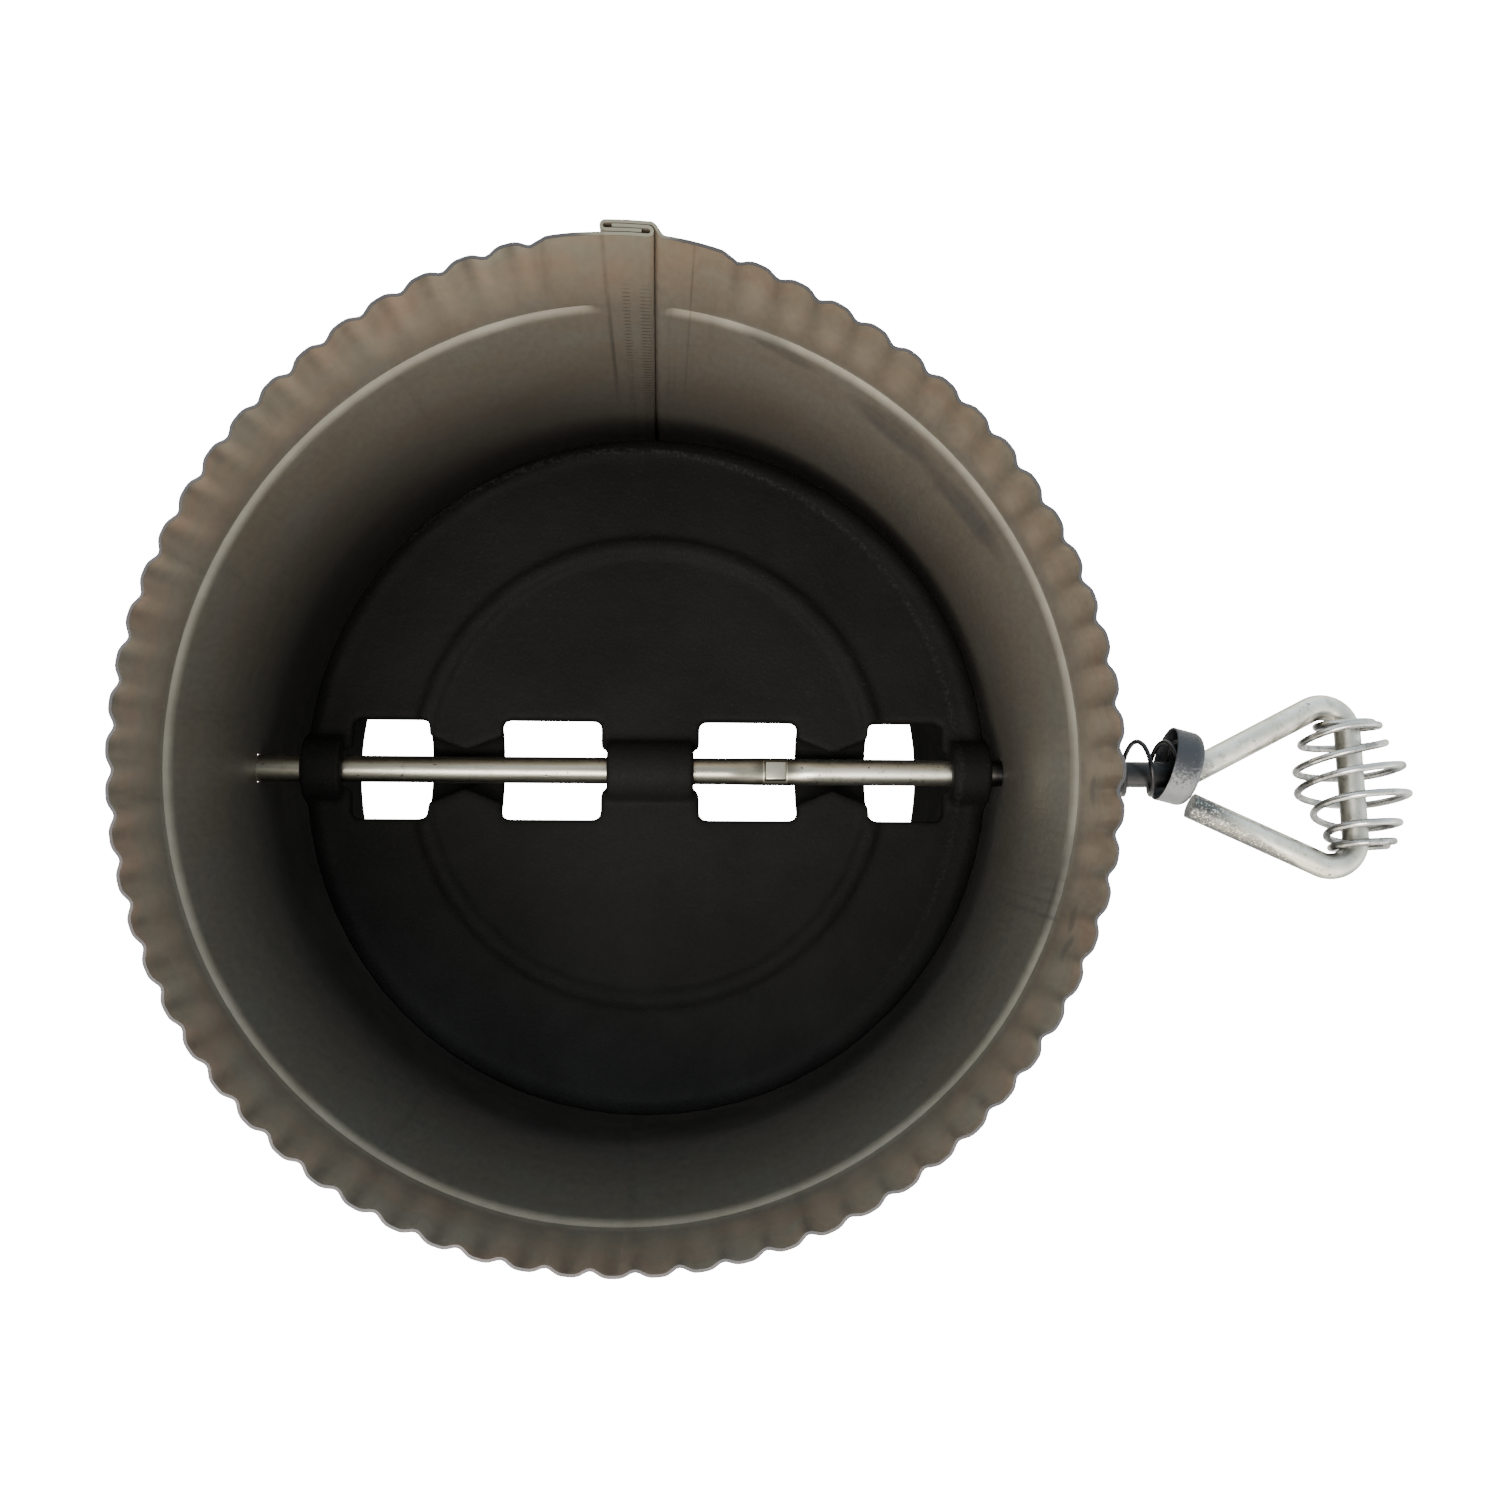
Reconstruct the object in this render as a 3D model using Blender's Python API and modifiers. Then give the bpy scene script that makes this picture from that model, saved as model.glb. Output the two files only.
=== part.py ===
"""Stovepipe damper, a Blender 4.5 script in metres with +Z up.

A section of round sheet-metal stovepipe stands on its plain end, crimped end up. Its one sheet
is rolled, closed by a lock seam and crimped at the top above a stop bead. A cast-iron plate
inside turns on a steel rod that crosses the pipe. Outside the wall the same rod carries a
compression spring in a drawn cup and is bent into a triangular handle, whose bar holds a
barrel-shaped wire coil as a cool grip. The handle points along +X and the seam lies near +Y.
"""
import math

import bmesh
import bpy
from mathutils import Matrix, Vector

MM = 0.001

# Pipe: one sheet, rolled and locked
PIPE_LENGTH = 203.2 * MM
PIPE_BORE_RADIUS = 75.75 * MM
SHEET = 0.5 * MM
WALL_RADIUS = PIPE_BORE_RADIUS + SHEET / 2
PIPE_OUTER_RADIUS = PIPE_BORE_RADIUS + SHEET

# Lock seam: two hooks, four layers of sheet
SEAM_AZIMUTH = math.radians(-0.2)
SEAM_LAP = 6.0 * MM
SEAM_GAP = 0.12 * MM
SEAM_SLOPE = 1.6 * MM
HOOK_BITE = 0.9 * MM
HOOK_STEPS = 4
LAYER = SHEET + SEAM_GAP

# Stop bead
CRIMPED_LENGTH = 32.0 * MM
BEAD_HEIGHT = PIPE_LENGTH - CRIMPED_LENGTH
BEAD_HALF_WIDTH = 2.2 * MM
BEAD_RISE = 1.4 * MM
BEAD_END = 7.0 * MM

# Crimps: valleys pressed into the rim from one side of the seam round to the other
CRIMP_COUNT = 67
SEAM_FLAT_RIGHT = math.radians(12.4)
SEAM_FLAT_LEFT = math.radians(10.5)
CRIMP_ANGLE = (2 * math.pi - SEAM_FLAT_RIGHT - SEAM_FLAT_LEFT) / CRIMP_COUNT
CRIMP_DEPTH = 0.95 * MM
CRIMP_SHARPNESS = 4
CRIMP_CUTS = 3
CRIMP_START = BEAD_HEIGHT + BEAD_HALF_WIDTH * 1.8
RIM_TAPER = 1.85 * MM
TRIM = 1.5 * MM

# How far the rim stands out of round once it is crimped, by degrees from +Y towards +X
RIM_SWELL = (
    (-180.0, 0.55 * MM), (-150.0, 0.55 * MM), (-120.0, 0.35 * MM), (-90.0, -0.05 * MM), (-62.0, 0.35 * MM),
    (-50.0, 1.15 * MM), (-40.0, 1.6 * MM), (-30.0, 2.5 * MM), (-20.0, 3.55 * MM), (-10.0, 4.3 * MM),
    (0.0, 4.2 * MM), (7.0, 3.8 * MM), (14.0, 2.5 * MM), (20.0, 1.6 * MM), (28.0, 0.8 * MM), (40.0, 0.25 * MM),
    (75.0, 0.15 * MM), (100.0, 0.4 * MM), (125.0, 0.8 * MM), (148.0, 0.9 * MM), (180.0, 0.55 * MM),
)
SEAM_SWELL = 4.2 * MM

# The same swell at the bead, as a share of the rim's, fading to a round plain end
BEAD_SWELL_SHARE = 0.36

# Rod
ROD_RADIUS = 2.7 * MM
ROD_HEIGHT = 111.3 * MM
ROD_SIDES = 14
HOLE_CLEARANCE = 0.6 * MM
TIP_REACH = 8.0 * MM
TIP_LENGTH = 5.0 * MM
TIP_RADIUS = 0.5 * MM
SPRING_ROOM = 38.45 * MM
ROOT_BEND = 5.6 * MM
CORNER_BEND = 5.6 * MM
BEND_STEP = math.radians(14.0)

# Triangular handle, measured from the rod's first bend
GRIP_DEPTH = 34.5 * MM
GRIP_RISE = 17.8 * MM
GRIP_DROP = 22.1 * MM
BAR_LEAN = 1.9 * MM
ARM_END_REACH = 0.9 * MM
ARM_END_DROP = 6.35 * MM

# Lug swaged on the rod, which bears on the plate's web
LUG_LENGTH = 4.9 * MM
LUG_WIDTH = 4.3 * MM
LUG_STAND = 0.75 * MM
EAR_WIDTH = 3.2 * MM
EAR_LENGTH = 6.6 * MM
EAR_DEPTH = 4.8 * MM
SEAT_GAP = 0.3 * MM

# Cast plate
PLATE_EDGE_GAP = 6.25 * MM
PLATE_RADIUS = PIPE_BORE_RADIUS - PLATE_EDGE_GAP
PLATE_THICKNESS = 3.2 * MM
PLATE_SHIFT = 3.3 * MM
PLATE_TURN = math.radians(-4.0)
PLATE_STEPS = 72
LIP_WIDTH = 3.1 * MM
LIP_RISE = 0.35 * MM
RIB_RADIUS = 46.4 * MM
RIB_HALF_WIDTH = 2.1 * MM
RIB_RISE = 1.1 * MM
EDGE_DROP = 1.5 * MM

# Crossovers of the casting, which pass over and under the rod in turn
TROUGH_CLEARANCE = 0.6 * MM
TROUGH_RADIUS = ROD_RADIUS + TROUGH_CLEARANCE
TROUGH_WALL = 3.1 * MM
BRIDGE_HALF = 10.0 * MM
BOSS_HALF = 8.8 * MM
INNER_WINDOW = 20.0 * MM
WEB_LENGTH = 14.7 * MM
SLEEVE_LENGTH = 8.0 * MM
SLEEVE_STAND = 0.1 * MM
SLEEVE_WALL = 3.6 * MM
SLEEVE_SETBACK = 1.6 * MM
WINDOW_HALF_WIDTH = 10.1 * MM
WINDOW_CORNER = 1.0 * MM
WEB_WALL = 2.6 * MM
WEB_THROAT = 3.9 * MM
WEB_MOUTH = 7.2 * MM
WEB_MOUTH_DEPTH = 4.0 * MM
SLEEVE_MOUTH = 4.6 * MM

# Tension spring
SPRING_RADIUS = 5.65 * MM
SPRING_WIRE = 0.5 * MM
SPRING_LIFT = 1.1 * MM
SPRING_TURNS = 5.8
SPRING_END_ANGLE = math.radians(-240.0)
CLOSED_PITCH = 1.15 * MM
SPRING_POINTS = 12

# Drawn spring cup
CUP_WALL = 0.6 * MM
CUP_CLEARANCE = 1.05 * MM
CUP_RADIUS = SPRING_RADIUS + SPRING_WIRE + CUP_CLEARANCE + CUP_WALL
CUP_LENGTH = 6.4 * MM
CUP_CORNER = 2.2 * MM
CUP_TILT = math.radians(-14.3)
CUP_SEAT = Vector((1.7 * MM, 0.8 * MM, 0.0))
CUP_HOLE_CLEARANCE = 1.6 * MM
CUP_STEPS = 28

# Barrel coil of the grip
COIL_WIRE = 0.65 * MM
COIL_TURNS = 7
COIL_CLEARANCE = 1.8 * MM
COIL_BARREL = 11.2 * MM
COIL_PHASE = math.radians(-25.0)
COIL_GAP = 0.25 * MM
COIL_POINTS = 14

# Every quarter turn of the coil from its foot: height as a share of its half length, and how full
COIL_STATIONS = (
    (-0.998, 0.121), (-0.998, 0.041), (-0.99, -0.041), (-0.934, 0.056), (-0.929, 0.372), (-0.929, 0.223),
    (-0.802, 0.068), (-0.636, 0.34), (-0.631, 0.613), (-0.691, 0.536), (-0.453, 0.458), (-0.193, 0.724),
    (-0.178, 1.0), (-0.295, 0.974), (-0.084, 0.957), (0.203, 0.916), (0.275, 0.874), (0.166, 0.916),
    (0.273, 0.957), (0.513, 0.655), (0.659, 0.352), (0.66, 0.534), (0.711, 0.716), (0.929, 0.289),
    (0.944, 0.19), (0.96, 0.157), (0.99, 0.14), (0.998, 0.041), (0.998, -0.025),
)

# Places worked out from the sizes above
ROOT_X = PIPE_OUTER_RADIUS + SPRING_ROOM
UPPER_CORNER = Vector((ROOT_X + GRIP_DEPTH, GRIP_RISE, 0.0))
LOWER_CORNER = Vector((ROOT_X + GRIP_DEPTH + BAR_LEAN, -GRIP_DROP, 0.0))
GRIP_REACH = ROOT_X + GRIP_DEPTH + BAR_LEAN / 2 + COIL_BARREL + COIL_WIRE
TIP_END = PIPE_OUTER_RADIUS + TIP_REACH
SEAM_REACH = WALL_RADIUS - RIM_TAPER + SEAM_SWELL + 3 * LAYER + SHEET / 2
BEAD_REACH = PIPE_OUTER_RADIUS + BEAD_RISE

# The part's origin is under the middle of its outline, on the surface it stands on
PIPE_AXIS = Vector(((TIP_END - GRIP_REACH) / 2, (BEAD_REACH - SEAM_REACH) / 2, 0.0))


def clear_scene():
    for thing in list(bpy.data.objects):
        bpy.data.objects.remove(thing, do_unlink=True)


def new_collection(name):
    collection = bpy.data.collections.new(name)
    bpy.context.scene.collection.children.link(collection)
    return collection


def metal(name, color, roughness, metallic):
    material = bpy.data.materials.new(name)
    material.use_nodes = True
    shader = material.node_tree.nodes["Principled BSDF"]
    shader.inputs["Base Color"].default_value = (*color, 1.0)
    shader.inputs["Roughness"].default_value = roughness
    shader.inputs["Metallic"].default_value = metallic
    return material


def object_from(name, shape, collection):
    """Turns a bmesh into a linked object."""
    bmesh.ops.recalc_face_normals(shape, faces=shape.faces)
    mesh = bpy.data.meshes.new(name)
    shape.to_mesh(mesh)
    shape.free()
    thing = bpy.data.objects.new(name, mesh)
    collection.objects.link(thing)
    return thing


def finish(thing, material, sharp_degrees=35.0):
    thing.data.materials.clear()
    thing.data.materials.append(material)
    thing.data.shade_smooth()
    thing.data.set_sharp_from_angle(angle=math.radians(sharp_degrees))


def boolean(thing, tool, operation):
    change = thing.modifiers.new(f"{operation.lower()}_{tool.name}", "BOOLEAN")
    change.operation = operation
    change.solver = "EXACT"
    change.object = tool
    tool.hide_render = True
    tool.display_type = "WIRE"


def solidify(thing, thickness, offset=0.0):
    wall = thing.modifiers.new("wall", "SOLIDIFY")
    wall.thickness = thickness
    wall.offset = offset
    wall.use_even_offset = True
    wall.use_quality_normals = True


def box(name, low, high, collection, corner=0.0):
    """A block between two corners, with its upright edges rounded."""
    shape = bmesh.new()
    bmesh.ops.create_cube(shape, size=1.0)
    size = Vector(high) - Vector(low)
    middle = (Vector(high) + Vector(low)) / 2
    bmesh.ops.scale(shape, vec=size, verts=shape.verts)
    bmesh.ops.translate(shape, vec=middle, verts=shape.verts)
    if corner:
        upright = [e for e in shape.edges if abs(e.verts[0].co.z - e.verts[1].co.z) > size.z / 2]
        bmesh.ops.bevel(shape, geom=upright, offset=corner, segments=2, profile=0.5, affect="EDGES")
    return object_from(name, shape, collection)


def rod_along_x(shape, radius, x_from, x_to, segments):
    """Adds a closed cylinder along X to a bmesh."""
    turn = Matrix.Translation(((x_from + x_to) / 2, 0, 0)) @ Matrix.Rotation(math.pi / 2, 4, "Y")
    bmesh.ops.create_cone(shape, cap_ends=True, segments=segments, radius1=radius, radius2=radius,
                          depth=x_to - x_from, matrix=turn)


def wire_curve(name, points, radius, sides, collection, radii=None):
    """A round wire through the points, with its ends closed."""
    curve = bpy.data.curves.new(name, "CURVE")
    curve.dimensions = "3D"
    curve.bevel_depth = radius
    curve.bevel_resolution = (sides - 4) // 2
    curve.use_fill_caps = True
    spline = curve.splines.new("POLY")
    spline.points.add(len(points) - 1)
    for index, (point, place) in enumerate(zip(spline.points, points)):
        point.co = (*place, 1.0)
        if radii:
            point.radius = radii[index]
    thing = bpy.data.objects.new(name, curve)
    collection.objects.link(thing)
    return thing


def curve_to_mesh(thing, collection):
    """Replaces a curve object by a mesh of the same name, with its caps welded."""
    name = thing.name
    bpy.context.view_layer.update()
    evaluated = thing.evaluated_get(bpy.context.evaluated_depsgraph_get())
    mesh = bpy.data.meshes.new_from_object(evaluated)
    place = thing.matrix_world.copy()
    bpy.data.objects.remove(thing, do_unlink=True)
    weld = bmesh.new()
    weld.from_mesh(mesh)
    bmesh.ops.remove_doubles(weld, verts=weld.verts, dist=0.00001)
    bmesh.ops.recalc_face_normals(weld, faces=weld.faces)
    weld.to_mesh(mesh)
    weld.free()
    solid = bpy.data.objects.new(name, mesh)
    solid.matrix_world = place
    collection.objects.link(solid)
    return solid


def rounded_path(corners, radii):
    """A polyline whose inner corners are arcs of the given radii."""
    points = [corners[0]]
    for before, corner, after, radius in zip(corners, corners[1:], corners[2:], radii):
        back = (before - corner).normalized()
        onward = (after - corner).normalized()
        half = back.angle(onward) / 2
        centre = corner + (back + onward).normalized() * (radius / math.sin(half))
        start = corner + back * (radius / math.tan(half)) - centre
        end = corner + onward * (radius / math.tan(half)) - centre
        sweep = math.pi - 2 * half
        steps = max(2, math.ceil(sweep / BEND_STEP))
        axis = start.cross(end)
        for k in range(steps + 1):
            points.append(centre + Matrix.Rotation(sweep * k / steps, 3, axis) @ start)
    points.append(corners[-1])
    return points


def hook(middle, height, start, sweep):
    """Fold lines of a half-round hook, as distance along the wall and height above it."""
    lines = []
    for k in range(HOOK_STEPS + 1):
        angle = start + sweep * k / HOOK_STEPS
        lines.append((middle + LAYER * math.cos(angle), height + LAYER * math.sin(angle)))
    return lines


def fold_lines():
    """Azimuth and height of every upright fold line, from one free edge of the sheet to the other.

    Azimuth runs from +Y towards +X. The outer hook covers the seam and becomes the wall, which
    goes once round the pipe and ends in the inner hook. The numbers of the first and last lines
    that bound a crimp are returned too.
    """
    left = -SEAM_LAP / 2
    right = SEAM_LAP / 2
    cover = [(right - HOOK_BITE, LAYER)]
    cover += hook(left, 2 * LAYER, -math.pi / 2, -math.pi)
    cover.append((right + LAYER, 3 * LAYER))
    cover.append((right + LAYER + SEAM_SLOPE, 0.0))
    tail = [(left - LAYER, 0.0)]
    tail += hook(right, LAYER, -math.pi / 2, math.pi)
    tail.append((left + HOOK_BITE, 2 * LAYER))

    lines = [(along / WALL_RADIUS, height) for along, height in cover]
    lines.append((BEAD_END / WALL_RADIUS, 0.0))
    first = len(lines)
    for k in range(CRIMP_COUNT + 1):
        lines.append((SEAM_FLAT_RIGHT + k * CRIMP_ANGLE, 0.0))
    last = len(lines) - 1
    turn = 2 * math.pi
    lines.append((turn - BEAD_END / WALL_RADIUS, 0.0))
    lines += [(turn + along / WALL_RADIUS, height) for along, height in tail]
    return lines, first, last


def sheet_levels():
    """Height, bead share and crimp share of every level of the sheet, from the plain end up."""
    levels = [(0.0, 0.0, 0.0)]
    for share, rise in ((-1.0, 0.0), (-0.55, 0.7), (0.0, 1.0), (0.55, 0.7), (1.0, 0.0)):
        levels.append((BEAD_HEIGHT + share * BEAD_HALF_WIDTH, rise, 0.0))
    crimp_length = PIPE_LENGTH - CRIMP_START
    levels.append((CRIMP_START, 0.0, 0.0))
    for share, depth in ((0.3, 0.28), (0.65, 0.72), (1.0, 1.0)):
        levels.append((CRIMP_START + share * crimp_length, 0.0, depth))
    levels.append((PIPE_LENGTH + TRIM, 0.0, 1.0))
    return levels


def crimp_valley(share):
    """Narrow valleys between broad lobes: 1 at a fold line, 0 half-way to the next."""
    return abs(math.cos(math.pi * share)) ** CRIMP_SHARPNESS


def rim_swell(around):
    """Height of RIM_SWELL at an azimuth in radians."""
    degrees = math.degrees(math.remainder(around, 2 * math.pi))
    for (start, low), (end, high) in zip(RIM_SWELL, RIM_SWELL[1:]):
        if degrees <= end:
            return low + (high - low) * (degrees - start) / (end - start)
    return RIM_SWELL[-1][1]


def rolled(line, level, lines, levels, first, last):
    """Place of a point of the flat sheet once it is rolled, folded, beaded and crimped."""
    lower = min(int(line), len(lines) - 2)
    share = line - lower
    azimuth = lines[lower][0] * (1 - share) + lines[lower + 1][0] * share
    height = lines[lower][1] * (1 - share) + lines[lower + 1][1] * share
    z, bead, crimp = levels[round(level)]
    around = azimuth + SEAM_AZIMUTH
    swell = rim_swell(around)
    radius = WALL_RADIUS + height + crimp * (swell - RIM_TAPER)
    lift = min(z / (BEAD_HEIGHT - BEAD_HALF_WIDTH), 1.0) * (1 - crimp)
    radius += BEAD_SWELL_SHARE * lift * (swell - RIM_SWELL[0][1])
    if first - 1 <= line <= last + 1:
        radius += BEAD_RISE * bead
    if first <= line <= last:
        radius -= CRIMP_DEPTH * crimp * crimp_valley(share)
    return Vector((radius * math.sin(around), radius * math.cos(around), z))


def make_pipe(parts, cutters, material):
    """One sheet: a flat grid whose points are rolled into place, then given its gauge."""
    lines, first, last = fold_lines()
    levels = sheet_levels()
    columns = len(lines) - 1
    rows = len(levels) - 1
    sheet = bmesh.new()
    bmesh.ops.create_grid(sheet, x_segments=columns, y_segments=rows, size=0.5)
    for point in sheet.verts:
        point.co = Vector(((point.co.x + 0.5) * columns, (point.co.y + 0.5) * rows, 0.0))
    crimped = []
    for edge in sheet.edges:
        a, b = (v.co for v in edge.verts)
        level = abs(a.y - b.y) < 0.5
        inside = min(a.x, b.x) > first - 0.5 and max(a.x, b.x) < last + 0.5
        if level and inside and levels[round(a.y)][2] > 0:
            crimped.append(edge)
    bmesh.ops.subdivide_edges(sheet, edges=crimped, cuts=CRIMP_CUTS, use_grid_fill=True)
    for point in sheet.verts:
        point.co = rolled(point.co.x, point.co.y, lines, levels, first, last)
    pipe = object_from("pipe", sheet, parts)
    pipe.location = PIPE_AXIS
    solidify(pipe, SHEET)

    reach = PIPE_OUTER_RADIUS + SEAM_SWELL + SEAM_LAP
    trim = box("rim_trim", (-reach, -reach, PIPE_LENGTH), (reach, reach, PIPE_LENGTH + 4 * TRIM), cutters)
    trim.location = PIPE_AXIS
    boolean(pipe, trim, "DIFFERENCE")
    holes = bmesh.new()
    rod_along_x(holes, ROD_RADIUS + HOLE_CLEARANCE, -reach, reach, 24)
    drill = object_from("rod_holes", holes, cutters)
    drill.location = PIPE_AXIS + Vector((0, 0, ROD_HEIGHT))
    boolean(pipe, drill, "DIFFERENCE")
    finish(pipe, material)
    return pipe


def plate_profile():
    """Half section of the round casting, from the middle of its top to the middle of its back."""
    top = PLATE_THICKNESS / 2
    edge = PLATE_RADIUS
    profile = [(0.0, top)]
    for share, rise in ((-1.0, 0.0), (-0.6, 0.8), (0.0, 1.0), (0.6, 0.8), (1.0, 0.0)):
        profile.append((RIB_RADIUS + share * RIB_HALF_WIDTH, top + rise * RIB_RISE))
    profile.append((edge - LIP_WIDTH * 1.4, top))
    profile.append((edge - LIP_WIDTH, top + LIP_RISE))
    profile.append((edge - LIP_WIDTH * 0.6, top))
    profile.append((edge - LIP_WIDTH * 0.12, top - EDGE_DROP * 0.7))
    profile.append((edge, top - EDGE_DROP * 1.4))
    profile.append((edge - LIP_WIDTH * 0.2, -top))
    profile.append((0.0, -top))
    return profile


def turned(name, profile, steps, collection):
    """A solid or shell turned about Z from a profile of radius and height."""
    outline = bpy.data.meshes.new(name)
    points = [(radius, 0.0, height) for radius, height in profile]
    outline.from_pydata(points, [(k, k + 1) for k in range(len(points) - 1)], [])
    thing = bpy.data.objects.new(name, outline)
    collection.objects.link(thing)
    screw = thing.modifiers.new("turn", "SCREW")
    screw.steps = steps
    screw.render_steps = steps
    screw.use_merge_vertices = True
    screw.merge_threshold = 0.00001
    screw.use_normal_calculate = False
    return thing


def half_barrel(name, x_from, x_to, half_width, height, collection):
    """A half-round ridge along X. A positive height stands on the plate, a negative one hangs."""
    shape = bmesh.new()
    rod_along_x(shape, 1.0, x_from, x_to, 24)
    bmesh.ops.scale(shape, vec=(1.0, half_width, abs(height)), verts=shape.verts)
    side = 1.0 if height > 0 else -1.0
    everything = shape.verts[:] + shape.edges[:] + shape.faces[:]
    cut = bmesh.ops.bisect_plane(shape, geom=everything, plane_co=(0, 0, 0), plane_no=(0, 0, -side),
                                 clear_outer=True)
    rim = [item for item in cut["geom_cut"] if isinstance(item, bmesh.types.BMEdge)]
    bmesh.ops.contextual_create(shape, geom=rim)
    return object_from(name, shape, collection)


def trough(name, x_from, x_to, throat_half_width, mouth_half_width, mouth_depth, side, collection):
    """Cutter for the rod's channel: narrow at its throat, flared at both mouths, open on one side."""
    shape = bmesh.new()
    middle = (x_from + x_to) / 2
    rod_along_x(shape, TROUGH_RADIUS, x_from - MM, x_to + MM, 24)
    everything = shape.verts[:] + shape.edges[:] + shape.faces[:]
    bmesh.ops.bisect_plane(shape, geom=everything, plane_co=(middle, 0, 0), plane_no=(1, 0, 0))
    open_height = TROUGH_RADIUS + SLEEVE_WALL + PLATE_THICKNESS
    for point in shape.verts:
        if abs(point.co.x - middle) > MM / 2:
            point.co.y *= mouth_half_width / TROUGH_RADIUS
            point.co.z *= mouth_depth / TROUGH_RADIUS
        else:
            point.co.y *= throat_half_width / TROUGH_RADIUS
        if point.co.z * side > 0.01 * MM:
            point.co.z += side * open_height
    bmesh.ops.triangulate(shape, faces=shape.faces)
    return object_from(name, shape, collection)


def make_plate(parts, cutters, carrier, material):
    """Cast disc with a ring rib, four windows and five crossovers that hold the rod."""
    plate = turned("damper_plate", plate_profile(), PLATE_STEPS, parts)
    sleeve_end = PLATE_RADIUS + SLEEVE_STAND
    sleeve_start = sleeve_end - SLEEVE_LENGTH
    web_start = BRIDGE_HALF + INNER_WINDOW
    web_end = web_start + WEB_LENGTH
    sleeve_radius = TROUGH_RADIUS + SLEEVE_WALL
    web_half_width = WEB_MOUTH + WEB_WALL * 0.9
    tools = []
    joins = [half_barrel("boss", -BOSS_HALF, BOSS_HALF, TROUGH_RADIUS + TROUGH_WALL,
                         TROUGH_RADIUS + TROUGH_WALL, cutters)]
    cuts = [trough("boss_trough", -BRIDGE_HALF, BRIDGE_HALF, TROUGH_RADIUS, SLEEVE_MOUTH, TROUGH_RADIUS,
                   -1.0, cutters)]
    for side, hand in ((1, "right"), (-1, "left")):
        sleeve = sorted((side * sleeve_start, side * sleeve_end))
        joins.append(half_barrel(f"sleeve_{hand}", *sleeve, sleeve_radius, sleeve_radius, cutters))
        web = sorted((side * web_start, side * web_end))
        joins.append(half_barrel(f"web_{hand}", *web, web_half_width, -(WEB_MOUTH_DEPTH + WEB_WALL), cutters))
        bearing = sorted((side * (sleeve_start - SLEEVE_SETBACK), side * sleeve_end))
        cuts.append(trough(f"sleeve_trough_{hand}", *bearing, TROUGH_RADIUS, SLEEVE_MOUTH, TROUGH_RADIUS,
                           -1.0, cutters))
        cuts.append(trough(f"web_trough_{hand}", *web, WEB_THROAT, WEB_MOUTH, WEB_MOUTH_DEPTH, 1.0, cutters))
        windows = ((BRIDGE_HALF, web_start), (web_end, sleeve_start - SLEEVE_SETBACK))
        for number, (near, far) in enumerate(windows):
            span = sorted((side * near, side * far))
            low = (span[0], -WINDOW_HALF_WIDTH, -PLATE_THICKNESS * 4)
            high = (span[1], WINDOW_HALF_WIDTH, PLATE_THICKNESS * 4)
            cuts.append(box(f"window_{hand}_{number}", low, high, cutters, WINDOW_CORNER))
    for tool in joins:
        boolean(plate, tool, "UNION")
        tools.append(tool)
    for tool in cuts:
        boolean(plate, tool, "DIFFERENCE")
        tools.append(tool)
    for thing in [plate] + tools:
        thing.parent = carrier
        thing.location = (PLATE_SHIFT, 0, 0)
    finish(plate, material)
    return plate


def handle_corners():
    """Corner points of the rod, from its pointed end to the cut end of the lower arm."""
    return [
        Vector((-TIP_END, 0, 0)),
        Vector((-TIP_END + TIP_LENGTH, 0, 0)),
        Vector((ROOT_X, 0, 0)),
        UPPER_CORNER,
        LOWER_CORNER,
        Vector((ROOT_X + ARM_END_REACH, -ARM_END_DROP, 0)),
    ]


def make_rod(parts, cutters, carrier, material):
    """One bent rod: point, shaft with its lug, and triangular handle."""
    corners = handle_corners()
    path = [corners[0]] + rounded_path(corners[1:], [ROOT_BEND, CORNER_BEND, CORNER_BEND])
    radii = [TIP_RADIUS / ROD_RADIUS] + [1.0] * (len(path) - 1)
    rod = wire_curve("handle_rod", path, ROD_RADIUS, ROD_SIDES, parts, radii)
    rod = curve_to_mesh(rod, parts)
    ear_end = PLATE_SHIFT + BRIDGE_HALF + INNER_WINDOW - SEAT_GAP
    lug_start = ear_end - EAR_LENGTH
    lug_top = ROD_RADIUS + LUG_STAND
    pad = box("lug_pad", (lug_start, -LUG_WIDTH / 2, 0), (lug_start + LUG_LENGTH, LUG_WIDTH / 2, lug_top), cutters)
    ear = box("lug_ear", (lug_start, -EAR_WIDTH / 2, -EAR_DEPTH), (ear_end, EAR_WIDTH / 2, 0), cutters)
    for tool in (pad, ear):
        boolean(rod, tool, "UNION")
        tool.parent = carrier
    rod.parent = carrier
    finish(rod, material)
    return rod


def spring_points():
    """Helix along X with a closed turn at each end, from the pipe wall to the cup's bottom."""
    cup_bottom = ROOT_X + CUP_SEAT.x - CUP_WALL - (SPRING_RADIUS + CUP_SEAT.y) * math.tan(-CUP_TILT)
    start = PIPE_OUTER_RADIUS + SEAT_GAP + SPRING_WIRE
    end = cup_bottom - SPRING_WIRE - SEAT_GAP
    open_length = end - start - 2 * CLOSED_PITCH
    turns = SPRING_TURNS + 2
    count = round(turns * SPRING_POINTS)
    points = []
    for k in range(count + 1):
        done = turns * k / count
        closed_before = min(done, 1.0)
        closed_after = max(done - 1.0 - SPRING_TURNS, 0.0)
        opened = done - closed_before - closed_after
        x = start + CLOSED_PITCH * (closed_before + closed_after) + open_length * opened / SPRING_TURNS
        angle = SPRING_END_ANGLE - (turns - done) * 2 * math.pi
        y = SPRING_LIFT + SPRING_RADIUS * math.cos(angle)
        z = SPRING_RADIUS * math.sin(angle)
        points.append(Vector((x, y, z)))
    return points


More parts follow.
